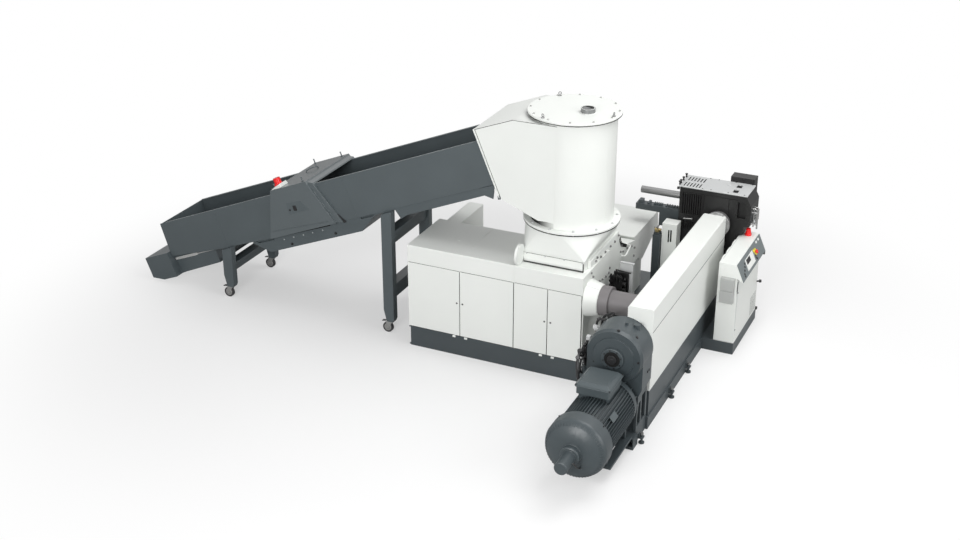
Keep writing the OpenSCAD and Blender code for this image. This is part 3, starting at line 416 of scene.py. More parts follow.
def at(x, y, z):
    """A point measured in mm from the cabinet's front left bottom corner."""
    return Vector(((x - 1660.0) / 1000.0, (y - 645.0) / 1000.0, z / 1000.0))


def up_slope(u, y, v):
    """A point on the conveyor: u mm up the slope, v mm square to it."""
    return at(LOW_X + u * math.cos(SLOPE) - v * math.sin(SLOPE), y,
              LOW_Z + u * math.sin(SLOPE) + v * math.cos(SLOPE))


slope_up = (up_slope(0, 0, 1000) - up_slope(0, 0, 0)).normalized()
slope_on = (up_slope(1000, 0, 0) - up_slope(0, 0, 0)).normalized()
print("slope direction:", tuple(round(c, 3) for c in slope_on))

# %% [markdown]
# ## A small workshop of mesh tools
# Fittings are turned, bent and folded. Each of these tools adds one such form to an open mesh:
# a turned rod, a folded box, a bent tube or a flat plate cut to an outline. Finished forms of
# one finish are gathered in one piece, which keeps the number of objects low.


# %% Mesh tools
def add_rod(work, start, end, r, r_end=None, sides=20):
    """A turned rod or cone between two points."""
    r_end = r if r_end is None else r_end
    turn = (end - start).to_track_quat("Z", "Y").to_matrix()
    rings = []
    for centre, radius in ((start, r), (end, r_end)):
        rings.append([work.verts.new(centre + turn @ Vector(
            (radius * math.cos(k * math.tau / sides), radius * math.sin(k * math.tau / sides), 0.0)))
            for k in range(sides)])
    for k in range(sides):
        j = (k + 1) % sides
        work.faces.new((rings[0][k], rings[0][j], rings[1][j], rings[1][k]))
    work.faces.new(list(reversed(rings[0])))
    work.faces.new(rings[1])


def add_box(work, low, high):
    """A straight box between two corners."""
    c = [work.verts.new((x, y, z)) for x in (low[0], high[0]) for y in (low[1], high[1])
         for z in (low[2], high[2])]
    for f in ((0, 1, 3, 2), (4, 6, 7, 5), (0, 4, 5, 1), (2, 3, 7, 6), (0, 2, 6, 4), (1, 5, 7, 3)):
        work.faces.new([c[k] for k in f])


def add_plate(work, outline, thickness):
    """A flat plate: its outline is a ring of points, its thickness a vector."""
    low = [work.verts.new(p) for p in outline]
    high = [work.verts.new(p + thickness) for p in outline]
    count = len(outline)
    for k in range(count):
        j = (k + 1) % count
        work.faces.new((low[k], low[j], high[j], high[k]))
    work.faces.new(list(reversed(low)))
    work.faces.new(high)


def add_tube(work, path, r, sides=12, closed=False):
    """A round tube bent along a path of points."""
    rings = []
    count = len(path)
    for k, p in enumerate(path):
        before = path[(k - 1) % count] if (closed or k > 0) else p
        after = path[(k + 1) % count] if (closed or k < count - 1) else p
        turn = (after - before).to_track_quat("Z", "Y").to_matrix()
        if rings:
            near = min(range(sides), key=lambda s: (
                p + turn @ Vector((r * math.cos(s * math.tau / sides),
                                   r * math.sin(s * math.tau / sides), 0.0)) - rings[-1][0].co).length)
        else:
            near = 0
        rings.append([work.verts.new(p + turn @ Vector(
            (r * math.cos((s + near) * math.tau / sides),
             r * math.sin((s + near) * math.tau / sides), 0.0))) for s in range(sides)])
    spans = list(zip(rings, rings[1:])) + ([(rings[-1], rings[0])] if closed else [])
    for a, b in spans:
        for s in range(sides):
            j = (s + 1) % sides
            work.faces.new((a[s], a[j], b[j], b[s]))
    if not closed:
        work.faces.new(list(reversed(rings[0])))
        work.faces.new(rings[-1])


def arc(centre, side_a, side_b, radius, start, end, steps):
    """Points on an arc in the plane of two directions."""
    return [centre + side_a * (radius * math.cos(t)) + side_b * (radius * math.sin(t))
            for t in (start + (end - start) * k / steps for k in range(steps + 1))]


# %% [markdown]
# Every gathered piece is finished the same way: doubles merged, normals turned outwards, a
# small bevel, its finish and its body.


# %% Piece finisher
def keep(name, work, material, body, bevel=0.0012, segments=2):
    """Turns the open mesh into a finished piece that rides on a body."""
    bmesh.ops.remove_doubles(work, verts=work.verts, dist=1e-6)
    bmesh.ops.recalc_face_normals(work, faces=work.faces)
    for face in work.faces:
        face.smooth = True
    for edge in work.edges:
        if len(edge.link_faces) == 2:
            edge.smooth = edge.calc_face_angle(0.0) < math.radians(30)
    mesh = bpy.data.meshes.new(name)
    work.to_mesh(mesh)
    work.free()
    mesh.materials.append(material)
    piece = bpy.data.objects.new(name, mesh)
    scene.collection.objects.link(piece)
    if bevel > 0:
        soft = piece.modifiers.new("soft_edges", "BEVEL")
        soft.width = bevel
        soft.segments = segments
        soft.limit_method = "ANGLE"
        soft.angle_limit = math.radians(32)
        flat = piece.modifiers.new("flat_faces", "WEIGHTED_NORMAL")
        flat.keep_sharp = True
    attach(piece, body)
    return piece


MACHINE = body_of("base_frame")

# %% [markdown]
# ## Bolts by Geometry Nodes
# The machine is held together by rows of hexagon bolts with washers. Drawing each by hand
# would be slow and uneven. Here one node tree makes a bolt from a six-sided cylinder and a
# round washer, and sets a copy on every point of a small mesh that only holds the places. Each
# point also stores the way the bolt faces, and a seeded turn spins each head a little
# differently, as wrenches leave them. The tree ends by making the copies real.


# %% Bolt tree
def socket(tree, name, kind, value=None, way="INPUT"):
    """Adds one named socket to a node tree and gives back its identifier."""
    item = tree.interface.new_socket(name=name, in_out=way, socket_type=kind)
    if value is not None:
        item.default_value = value
    return item.identifier


bolt_tree = bpy.data.node_groups.new("hexagon_bolts", "GeometryNodeTree")
socket(bolt_tree, "Geometry", "NodeSocketGeometry", way="OUTPUT")
socket(bolt_tree, "Places", "NodeSocketGeometry")
bolt_head = socket(bolt_tree, "Head Width", "NodeSocketFloat", 0.02)
bolt_height = socket(bolt_tree, "Head Height", "NodeSocketFloat", 0.01)
bolt_washer = socket(bolt_tree, "Washer Width", "NodeSocketFloat", 0.03)
bolt_sides = socket(bolt_tree, "Head Sides", "NodeSocketInt", 6)
bolt_finish = socket(bolt_tree, "Finish", "NodeSocketMaterial")
bt, bl = bolt_tree.nodes, bolt_tree.links
b_in = bt.new("NodeGroupInput")
b_out = bt.new("NodeGroupOutput")


def halve(value_socket):
    """A node that gives half of a value."""
    node = bt.new("ShaderNodeMath"); node.operation = "MULTIPLY"
    node.inputs[1].default_value = 0.5
    bl.new(value_socket, node.inputs[0])
    return node.outputs[0]


b_hex = bt.new("GeometryNodeMeshCylinder")
bl.new(b_in.outputs["Head Sides"], b_hex.inputs["Vertices"])
bl.new(halve(b_in.outputs["Head Width"]), b_hex.inputs["Radius"])
bl.new(b_in.outputs["Head Height"], b_hex.inputs["Depth"])
b_lift = bt.new("ShaderNodeMath"); b_lift.operation = "ADD"
b_lift.inputs[1].default_value = 0.002
bl.new(halve(b_in.outputs["Head Height"]), b_lift.inputs[0])
b_up = bt.new("ShaderNodeCombineXYZ")
bl.new(b_lift.outputs[0], b_up.inputs["Z"])
b_move = bt.new("GeometryNodeTransform")
bl.new(b_hex.outputs["Mesh"], b_move.inputs["Geometry"])
bl.new(b_up.outputs[0], b_move.inputs["Translation"])
b_disc = bt.new("GeometryNodeMeshCylinder")
b_disc.inputs["Vertices"].default_value = 18
b_disc.inputs["Depth"].default_value = 0.0042
bl.new(halve(b_in.outputs["Washer Width"]), b_disc.inputs["Radius"])
b_join = bt.new("GeometryNodeJoinGeometry")
bl.new(b_disc.outputs["Mesh"], b_join.inputs[0])
bl.new(b_move.outputs["Geometry"], b_join.inputs[0])
b_facing = bt.new("GeometryNodeInputNamedAttribute")
b_facing.data_type = "FLOAT_VECTOR"
b_facing.inputs["Name"].default_value = "facing"
b_align = bt.new("FunctionNodeAlignRotationToVector")
b_align.axis = "Z"
bl.new(b_facing.outputs["Attribute"], b_align.inputs["Vector"])
b_random = bt.new("FunctionNodeRandomValue")
b_random.data_type = "FLOAT"
b_random.inputs["Seed"].default_value = 11
for random_socket in b_random.inputs:
    if random_socket.name == "Max" and random_socket.type == "VALUE":
        random_socket.default_value = 1.0
b_spin = bt.new("FunctionNodeAxisAngleToRotation")
b_spin.inputs["Axis"].default_value = (0, 0, 1)
for random_out in b_random.outputs:
    if random_out.type == "VALUE" and random_out.enabled:
        bl.new(random_out, b_spin.inputs["Angle"])
        break
b_turn = bt.new("FunctionNodeRotateRotation")
b_turn.rotation_space = "LOCAL"
bl.new(b_align.outputs["Rotation"], b_turn.inputs["Rotation"])
bl.new(b_spin.outputs["Rotation"], b_turn.inputs["Rotate By"])
b_copies = bt.new("GeometryNodeInstanceOnPoints")
bl.new(b_in.outputs["Places"], b_copies.inputs["Points"])
bl.new(b_join.outputs[0], b_copies.inputs["Instance"])
bl.new(b_turn.outputs["Rotation"], b_copies.inputs["Rotation"])
b_real = bt.new("GeometryNodeRealizeInstances")
bl.new(b_copies.outputs["Instances"], b_real.inputs["Geometry"])
b_set = bt.new("GeometryNodeSetMaterial")
bl.new(b_real.outputs["Geometry"], b_set.inputs["Geometry"])
bl.new(b_in.outputs["Finish"], b_set.inputs["Material"])
bl.new(b_set.outputs["Geometry"], b_out.inputs["Geometry"])


# %% Bolt rows
def grow(name, places, vectors, tree, values, body):
    """Runs a tree on a mesh of points and keeps the result as one plain mesh."""
    mesh = bpy.data.meshes.new(name + "_places")
    mesh.from_pydata([tuple(p) for p in places], [], [])
    for label, rows in vectors.items():
        layer = mesh.attributes.new(label, "FLOAT_VECTOR", "POINT")
        layer.data.foreach_set("vector", [c for row in rows for c in row])
    piece = bpy.data.objects.new(name, mesh)
    scene.collection.objects.link(piece)
    grower = piece.modifiers.new("grow", "NODES")
    grower.node_group = tree
    for identifier, value in values.items():
        grower[identifier] = value
    shape = bpy.data.meshes.new_from_object(piece.evaluated_get(bpy.context.evaluated_depsgraph_get()))
    piece.modifiers.remove(grower)
    piece.data = shape
    shape.name = name
    for polygon in shape.polygons:
        polygon.use_smooth = False
    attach(piece, body)
    return piece


def bolts(name, places, facing, head, height, washer, material, body=None, sides=6):
    """A row of hexagon bolts: all face one way, or each its own."""
    rows = facing if isinstance(facing, list) else [facing] * len(places)
    return grow(name, places, {"facing": rows}, bolt_tree,
                {bolt_head: head, bolt_height: height, bolt_washer: washer, bolt_sides: sides,
                 bolt_finish: material}, body or MACHINE)


UP, FRONT, RIGHT, LEFT = Vector((0, 0, 1)), Vector((0, -1, 0)), Vector((1, 0, 0)), Vector((-1, 0, 0))


def ring_places(x, y, z, r, angles):
    return [at(x + r * math.cos(math.radians(a)), y + r * math.sin(math.radians(a)), z) for a in angles]


# %% [markdown]
# ### Where the bolts are
# The lid has twelve small ones near its rim, the drum's flange six big ones, and the side plate
# a long row along each edge. The hopper's panel, the cone, the gearbox and the belly pan have
# a few each. Their places are read off the photograph and snapped to the face that carries them.

# %% Set the bolts
lid_bolts = bolts("lid_bolts", ring_places(1660, 645, 2852, 465, range(15, 375, 30)), UP,
                  0.019, 0.010, 0.026, zinc)
flange_bolts = bolts("flange_bolts", ring_places(1660, 645, 1660, 487, range(-127, 233, 30)), UP,
                     0.024, 0.012, 0.032, light_paint)
under_bolts = bolts("flange_nuts", ring_places(1660, 645, 1632, 512, range(-127, -6, 30)), -UP,
                    0.020, 0.010, 0.024, white_paint)
hopper_bolts = bolts("hopper_bolts", [at(x, 134, 1352) for x in (1353, 1565, 1783, 1985)],
                     FRONT, 0.013, 0.006, 0.017, light_paint)
plate_spots = [(410, 1273), (448, 1300), (560, 1262), (700, 1262), (1214, 1050), (1235, 1120),
               (1180, 1200), (1120, 1290), (1303, 1020), (1444, 1000), (1538, 980), (1600, 960),
               (862, 1262), (1322, 766), (950, 780), (1080, 760), (1200, 740), (1450, 730),
               (1600, 720), (1700, 800), (1706, 900), (1000, 1262), (860, 1000), (840, 900)]
plate_bolts = bolts("side_plate_bolts", [at(2036, y, z) for y, z in plate_spots], RIGHT,
                    0.024, 0.012, 0.030, bolt_steel)
wall_spots = [(229, 1214), (286, 1146), (330, 1078), (790, 977), (689, 976), (584, 985), (490, 1005),
              (400, 1020)]
wall_bolts = bolts("cabinet_wall_bolts", [at(2055, y, z) for y, z in wall_spots], RIGHT,
                   0.022, 0.012, 0.028, bolt_steel)
gear_spots = [at(2535, -924, 846), at(2990, -924, 930)]
gear_bolts = bolts("gearbox_bolts", gear_spots, FRONT, 0.022, 0.008, 0.026, black_oxide)
hub_bolts = bolts("hub_bolts", [at(2733 + 94 * math.cos(math.radians(a)), -968, 930 + 94 * math.sin(math.radians(a)))
                                for a in range(15, 375, 45)], FRONT, 0.014, 0.007, 0.016,
                  black_oxide)
pan_bolts = bolts("belly_pan_bolts", [up_slope(1823, 205, -197), up_slope(2469, 205, -192)], FRONT,
                  0.026, 0.010, 0.034, black_oxide)
pan_rivets = bolts("belly_pan_rivets", [up_slope(u, 205, -122) for u in (1740, 1882, 2027, 2164, 2312)],
                   FRONT, 0.014, 0.005, 0.018, edge_highlight_and_rivet_paint)
box_screws = bolts("terminal_box_screws", [at(x, y, 839.5) for x in (2532, 2878) for y in (-1418, -1052)],
                   UP, 0.012, 0.004, 0.016, black_oxide)
foot_bolts = bolts("levelling_nuts", [at(3048, y, 104) for y in (-864, 120, 715)], UP,
                   0.034, 0.016, 0.04, bolt_steel)
cowl_screws = bolts("cowl_screws", [at(2733 + 314 * math.cos(math.radians(a)), -1772, 455 + 314 * math.sin(math.radians(a)))
                                    for a in (45, 135, 225, 315)],
                    [Vector((math.cos(math.radians(a)), 0, math.sin(math.radians(a)))) for a in (45, 135, 225, 315)],
                    0.014, 0.006, 0.018, black_oxide)

# %% [markdown]
# ## Louvres and slots by Geometry Nodes
# Vents are the same short slat again and again. A second tree puts a thin bar on each
# point and turns it by two stored directions: the way the sheet faces, and the way the slat
# runs. The same tree makes the panel's vents, the cowl's air slots and the pelletizer's grille.

# %% Slat tree
slat_tree = bpy.data.node_groups.new("slats", "GeometryNodeTree")
socket(slat_tree, "Geometry", "NodeSocketGeometry", way="OUTPUT")
socket(slat_tree, "Places", "NodeSocketGeometry")
slat_size = socket(slat_tree, "Slat Size", "NodeSocketVector")
slat_finish = socket(slat_tree, "Finish", "NodeSocketMaterial")
st, sl = slat_tree.nodes, slat_tree.links
s_in = st.new("NodeGroupInput")
s_out = st.new("NodeGroupOutput")
s_bar = st.new("GeometryNodeMeshCube")
sl.new(s_in.outputs["Slat Size"], s_bar.inputs["Size"])
s_run = st.new("GeometryNodeInputNamedAttribute"); s_run.data_type = "FLOAT_VECTOR"
s_run.inputs["Name"].default_value = "along"
s_face = st.new("GeometryNodeInputNamedAttribute"); s_face.data_type = "FLOAT_VECTOR"
s_face.inputs["Name"].default_value = "facing"
s_axes = st.new("FunctionNodeAxesToRotation")
s_axes.primary_axis = "Z"
s_axes.secondary_axis = "X"
sl.new(s_face.outputs["Attribute"], s_axes.inputs["Primary Axis"])
sl.new(s_run.outputs["Attribute"], s_axes.inputs["Secondary Axis"])
s_copies = st.new("GeometryNodeInstanceOnPoints")
sl.new(s_in.outputs["Places"], s_copies.inputs["Points"])
sl.new(s_bar.outputs["Mesh"], s_copies.inputs["Instance"])
sl.new(s_axes.outputs["Rotation"], s_copies.inputs["Rotation"])
s_real = st.new("GeometryNodeRealizeInstances")
sl.new(s_copies.outputs["Instances"], s_real.inputs["Geometry"])
s_set = st.new("GeometryNodeSetMaterial")
sl.new(s_real.outputs["Geometry"], s_set.inputs["Geometry"])
sl.new(s_in.outputs["Finish"], s_set.inputs["Material"])
sl.new(s_set.outputs["Geometry"], s_out.inputs["Geometry"])


def slats(name, places, facing, along, size, material, body=None):
    """Rows of thin bars on a sheet."""
    face_rows = facing if isinstance(facing, list) else [facing] * len(places)
    run_rows = along if isinstance(along, list) else [along] * len(places)
    return grow(name, places, {"facing": face_rows, "along": run_rows}, slat_tree,
                {slat_size: size, slat_finish: material}, body or MACHINE)


# %% Set the slats
panel_x = 3380
panel_vents = slats("panel_vents", [at(panel_x - 0.0223 * (z - 140), y, z) for y in range(1990, 2240, 28)
                                    for z in range(180, 390, 26)],
                    RIGHT, Vector((0, 1, 0)), (0.013, 0.013, 0.0016), vent_shadow)
top_slots = slats("top_slot_shadows", [at(2466 + 36 * k, y + 64, 1596) for k in range(6) for y in (2092, 2268)],
                  UP, Vector((0, 1, 0)), (0.128, 0.016, 0.001), shade_and_seal_black)
top_windows = slats("top_window_shadows", [at(3057.5, y + 48, 1591) for y in (2120, 2279)],
                    UP, Vector((0, 1, 0)), (0.096, 0.063, 0.001), shade_and_seal_black)
cowl_slots = slats("cowl_slots", [at(2733 + 283 * math.cos(math.radians(a)), -1948, 455 + 283 * math.sin(math.radians(a)))
                                  for a in range(0, 360, 6)],
                   [Vector((0.72 * math.cos(math.radians(a)), -0.69, 0.72 * math.sin(math.radians(a)))) for a in range(0, 360, 6)],
                   [Vector((0.69 * math.cos(math.radians(a)), 0.72, 0.69 * math.sin(math.radians(a)))) for a in range(0, 360, 6)],
                   (0.034, 0.006, 0.004), drive_paint)
beam_teeth = slats("beam_teeth", [at(2100 + 22 * k, 2215, 1272) for k in range(5)], UP, Vector((0, 1, 0)),
                   (0.06, 0.010, 0.022), dark_paint)
print("slat rows done")

# %% [markdown]
# ## The lid
# Three lifting eyes stand on the lid: a forged ring on a short stem and collar. The round
# collar holds a thin butterfly plate on a spindle, seen as a grey disc inside it.

# %% Lifting eyes and butterfly plate
work = bmesh.new()
for angle in (132, -115, -8):
    foot = ring_places(1660, 645, 2852, 456, [angle])[0]
    out_way = (foot - at(1660, 645, 2852)).normalized()
    side = out_way.cross(UP)
    add_rod(work, foot, foot + UP * 0.006, 0.019)
    add_rod(work, foot + UP * 0.005, foot + UP * 0.016, 0.012, 0.009)
    add_tube(work, arc(foot + UP * 0.028, side, UP, 0.0150, 0.0, math.tau * 23 / 24, 23), 0.0045, closed=True)
keep("lifting_eyes", work, bolt_steel, MACHINE, bevel=0.0)
work = bmesh.new()
centre = at(1822, 600, 2884)
add_rod(work, centre - Vector((0.0004, 0, 0.002)), centre + Vector((0.0004, 0, 0.002)), 0.0595, sides=40)
add_rod(work, centre - Vector((0, 0.060, 0)), centre + Vector((0, 0.060, 0)), 0.005)
keep("butterfly_plate", work, plate_grey, MACHINE, bevel=0.0008)

# %% [markdown]
# ## The drum's sheet seam and the chute
# The drum is one sheet rolled into a tube, and its joint shows as one upright line at the
# right. A thin cover strip stands for it. Under the chute's mouth a dark gusset ties the
# conveyor's head pan to the sheet.

# %% Drum seam and chute gusset
work = bmesh.new()
for angle in (-19.0,):
    a = math.radians(angle)
    out_way = Vector((math.cos(a), math.sin(a), 0))
    side = Vector((-math.sin(a), math.cos(a), 0))
    foot = at(1660, 645, 1661) + out_way * 0.4515
    add_plate(work, [foot - side * 0.006, foot + side * 0.006, foot + side * 0.006 + UP * 0.86,
                     foot - side * 0.006 + UP * 0.86], out_way * 0.0025)
keep("drum_seam_strip", work, white_paint, MACHINE, bevel=0.0006)
work = bmesh.new()
for y in (197, 1085):
    add_plate(work, [up_slope(4470, y, -76), up_slope(4500, y, -161), up_slope(4590, y, -222),
                     up_slope(4630, y, -150), up_slope(4660, y, -76)], Vector((0, 0.008, 0)))
add_rod(work, up_slope(4592, 190, -196), up_slope(4592, 206, -196), 0.012)
for y in (186, 1094):
    add_plate(work, [at(985, y, 1925), at(1008, y, 1934), at(1022, y, 1890), at(990, y, 1882)],
              Vector((0, 0.010, 0)))
keep("head_gussets", work, dark_paint, MACHINE)

# %% [markdown]
# ### Painted shadow lines and dark joints
# White sheets that meet leave a thin dark joint, and on a white machine these lines draw its
# shape. Under the lid, under the flange and around the butterfly plate a black ring is painted
# shadow, standing for the shade in the gap. Along the chute's top and mouth the folded sheets
# leave a line, and so does the seam half way up the long cover; under the hopper panel's lip a
# wider dark strip is painted shadow. Under the chute a band on the drum carries painted shadow:
# black at its deep end, fading into white paint towards its open end, so its colour is mixed along X.


# %% Painted shadow rings
def add_ring(work, centre, inner, outer, low, high, sides=96):
    """A flat ring around an upright axis."""
    rows = []
    for r, z in ((inner, low), (outer, low), (outer, high), (inner, high)):
        rows.append([work.verts.new(centre + Vector((r * math.cos(k * math.tau / sides),
                                                     r * math.sin(k * math.tau / sides), z)))
                     for k in range(sides)])
    for a, b in zip(rows, rows[1:] + rows[:1]):
        for k in range(sides):
            j = (k + 1) % sides
            work.faces.new((a[k], a[j], b[j], b[k]))


work = bmesh.new()
# Painted shadow: near-black rings under the lid's rim, under the flange and in the gap around the butterfly plate stand
# for the shade there.
add_ring(work, at(1660, 645, 0), 0.4525, 0.4985, 2.8235, 2.8298)
add_ring(work, at(1660, 645, 0), 0.505, 0.5225, 1.6215, 1.6318)
add_ring(work, at(1822, 600, 0), 0.0600, 0.0635, 2.8850, 2.8995, 48)
keep("painted_shadow_rings", work, shade_and_seal_black, MACHINE, bevel=0.0)
work = bmesh.new()
add_ring(work, at(1822, 600, 0), 0.0740, 0.0765, 2.8530, 2.8990, 48)
keep("vent_clamp_band", work, plate_grey, MACHINE, bevel=0.0)


# %% Dark joints and a painted shadow strip
def add_joint(work, start, end, wide, thick):
    """A thin bar from start to end: wide is a vector across it, thick a vector off the sheet."""
    add_plate(work, [start - wide * 0.5, end - wide * 0.5, end + wide * 0.5, start + wide * 0.5], thick)


work = bmesh.new()
add_joint(work, at(712, 193, 2626), at(1147, 193, 2792), UP * 0.006, FRONT * 0.0012)
add_joint(work, at(1147, 193, 2792), at(1640, 193, 2792), UP * 0.005, FRONT * 0.0012)
add_joint(work, at(718, 193, 2622), at(1020, 193, 1902), Vector((0.006, 0, 0)), FRONT * 0.0012)
add_joint(work, at(3015, -583, 1100), at(3015, 1990, 1100), UP * 0.006, RIGHT * 0.0012)
add_joint(work, at(1320, 133.5, 1360), at(2003, 133.5, 1360), UP * 0.004, FRONT * 0.0012)
# Painted shadow: this wider near-black strip stands for the shade under the hopper panel's lip.
add_joint(work, at(1320, 133.5, 1254), at(2003, 133.5, 1254), UP * 0.016, FRONT * 0.0012)
add_joint(work, at(1998, 133.5, 1247), at(1998, 133.5, 1346), Vector((0.010, 0, 0)), FRONT * 0.0012)
add_joint(work, at(3374, 1304.5, 780), at(3374, 1304.5, 905), Vector((0.008, 0, 0)), FRONT * 0.0012)
keep("joints_and_painted_shadow_strip", work, joint_shadow, MACHINE, bevel=0.0)

# %% Painted shadow band under the chute
# Painted shadow: the near-black base colour of the band under the chute.
painted_chute_shadow = finish("painted_chute_shadow", (0.012, 0.012, 0.012), rough=0.6, vary=0.1, spec=0.2)
kn, kl = painted_chute_shadow.node_tree.nodes, painted_chute_shadow.node_tree.links
k_bsdf = next(n for n in kn if n.type == "BSDF_PRINCIPLED")
k_coords = kn.new("ShaderNodeTexCoord")
k_split = kn.new("ShaderNodeSeparateXYZ")
# The band runs from painted black shadow at its deep end into white paint along X.
k_ramp = kn.new("ShaderNodeMapRange"); k_ramp.interpolation_type = "SMOOTHSTEP"
k_ramp.inputs["From Min"].default_value = -0.26
k_ramp.inputs["From Max"].default_value = 0.04
k_mix = kn.new("ShaderNodeMix"); k_mix.data_type = "RGBA"
k_mix.inputs["B"].default_value = (0.78, 0.80, 0.77, 1)
k_old = k_bsdf.inputs["Base Color"].links[0].from_socket
kl.new(k_coords.outputs["Object"], k_split.inputs["Vector"])
kl.new(k_split.outputs["X"], k_ramp.inputs["Value"])
kl.new(k_ramp.outputs["Result"], k_mix.inputs["Factor"])
kl.new(k_old, k_mix.inputs["A"])
kl.new(k_mix.outputs["Result"], k_bsdf.inputs["Base Color"])


def shadow_band_top(x):
    """Height of the chute's underside over a place x, in mm."""
    return 1781 + (1302 - x) * 0.409 if x < 1302 else max(1722, 1781 - (x - 1302) * 0.415)


# Painted shadow band on the drum, from its foot up to just under the chute.
work = bmesh.new()
rows = []
for k in range(41):
    a = math.radians(150 + k * 2.9)
    rim = [(453.0, 1661.0), (456.0, 1661.0)]
    x_mm = 1660 + 456 * math.cos(a)
    top = shadow_band_top(x_mm) - 6
    rows.append([work.verts.new(at(1660 + r * math.cos(a), 645 + r * math.sin(a), z))
                 for r, z in ((453.0, 1661.0), (456.0, 1661.0), (456.0, top), (453.0, top))])
for a_row, b_row in zip(rows, rows[1:]):
    for k in range(4):
        work.faces.new((a_row[k], a_row[(k + 1) % 4], b_row[(k + 1) % 4], b_row[k]))
work.faces.new(list(reversed(rows[0])))
work.faces.new(rows[-1])
keep("chute_painted_shadow_band", work, painted_chute_shadow, MACHINE, bevel=0.0)

# %% [markdown]
# ### Sheet edges of the trough
# The trough's walls end in a cut edge that catches the overhead light, so a fine pale line
# runs along each wall. That line is a painted highlight: a thin strip, a little paler than the walls.

# %% Painted edge highlights, and painted shade in the slot above the belly pan
# Painted highlight: pale strips along the trough walls' top edges.
work = bmesh.new()
for y in (205.5, 1075.5):
    for u0, u1 in ((135, 1860), (2385, 4610)):
        add_plate(work, [up_slope(u0, y, 430), up_slope(u1, y, 430), up_slope(u1, y + 9, 430),
                         up_slope(u0, y + 9, 430)], slope_up * 0.0015)
keep("painted_edge_highlights", work, edge_highlight_and_rivet_paint, MACHINE, bevel=0.0)
# Painted shadow: a near-black strip stands for the shade in the slot above the belly pan.
work = bmesh.new()
for y, way in ((204.5, -1), (1085.5, 1)):
    add_plate(work, [up_slope(1700, y, -48), up_slope(2440, y, -78), up_slope(2440, y, -92),
                     up_slope(1740, y, -78)], Vector((0, way * 0.001, 0)))
keep("pan_gap_painted_shade", work, shade_and_seal_black, MACHINE, bevel=0.0)

# %% [markdown]
# ## The cabinet's fittings
# Each pair of doors closes with two small round locks beside the joint, and rests on two white
# stop blocks at the base. A black sponge seal runs along each leaf's top and right edge, and
# makes the thin dark lines between the leaves. A lock is a dark recess with a bright key core. Locks ride on their
# own doors, because they swing out with them.

# %% Door locks and stops
for door, x in ((1, 585), (2, 654), (3, 1626), (4, 1696)):
    body = body_of("door_%d" % door)
    work = bmesh.new()
    add_rod(work, at(x, 0.3, 651), at(x, -2.5, 651), 0.012, 0.0105, sides=28)
    keep("door_%d_lock_ring" % door, work, bolt_steel, body, bevel=0.0006)
    work = bmesh.new()
    add_rod(work, at(x, -1.5, 651), at(x, -3.6, 651), 0.0065, sides=20)
    add_box(work, at(x - 1.2, -4.6, 646), at(x + 1.2, -3.0, 656))
    keep("door_%d_lock_core" % door, work, black_oxide, body, bevel=0.0003)
door_edges = {1: (-14, 616), 2: (624, 1259.5), 3: (1268.5, 1654), 4: (1662, 2042)}
for door, (x0, x1) in door_edges.items():
    work = bmesh.new()
    add_box(work, at(x1 - 0.2, 1.5, 256), at(x1 + 1.0, 18.5, 1037))
    add_box(work, at(x0 + 4, 1.5, 1038.5), at(x1 - 4, 18.5, 1041.0))
    keep("door_%d_seals" % door, work, shade_and_seal_black, body_of("door_%d" % door), bevel=0.0)
work = bmesh.new()
for x in (549, 693, 1591, 1731):
    add_box(work, at(x - 18, -9, 224), at(x + 18, 0.5, 247))
    add_box(work, at(x - 11, -16, 229), at(x + 11, -8, 241))
keep("door_stops", work, white_paint, MACHINE, bevel=0.002)

# %% Cabinet roof fittings
work = bmesh.new()
add_rod(work, at(446, 348, 1246), at(446, 348, 1249), 0.016, sides=28)
for x in (90, 600, 700, 1240):
    for y in (300, 720):
        add_rod(work, at(x, y, 1246), at(x, y, 1248.5), 0.007, sides=16)
keep("roof_plugs", work, white_paint, MACHINE, bevel=0.001)

# %% [markdown]
# ## The side plate's slot and handle
# At the top of the thick side plate there is a slot where the drum's drive comes out,
# with a white handle rod across it. Its darkness is painted shade: a shallow near-black insert, framed by a folded rim.

# %% Painted shade insert for the slot, and handle
work = bmesh.new()
add_plate(work, [at(2036.5, 1190, 1240), at(2036.5, 1250, 1150), at(2036.5, 1440, 1050),
                 at(2036.5, 1420, 1020), at(2036.5, 1225, 1110), at(2036.5, 1160, 1220)],
          Vector((0.003, 0, 0)))
keep("drive_slot_painted_shade", work, shade_and_seal_black, MACHINE, bevel=0.0006)
work = bmesh.new()
add_tube(work, [at(2036, 1455, 1040), at(2066, 1455, 1040), at(2080, 1440, 1030), at(2080, 1290, 985),
                at(2066, 1265, 978), at(2036, 1265, 978)], 0.010)
keep("drive_handle", work, white_paint, MACHINE, bevel=0.0)

# %% [markdown]
# ## The metal detector
# The detector's side has a recessed lid with a square latch and a round button, and a folded
# edge line along its bottom. Its top carries four lifting pins and a curved grip. The red lamp
# stands on a small white wedge that levels it on the sloped top.

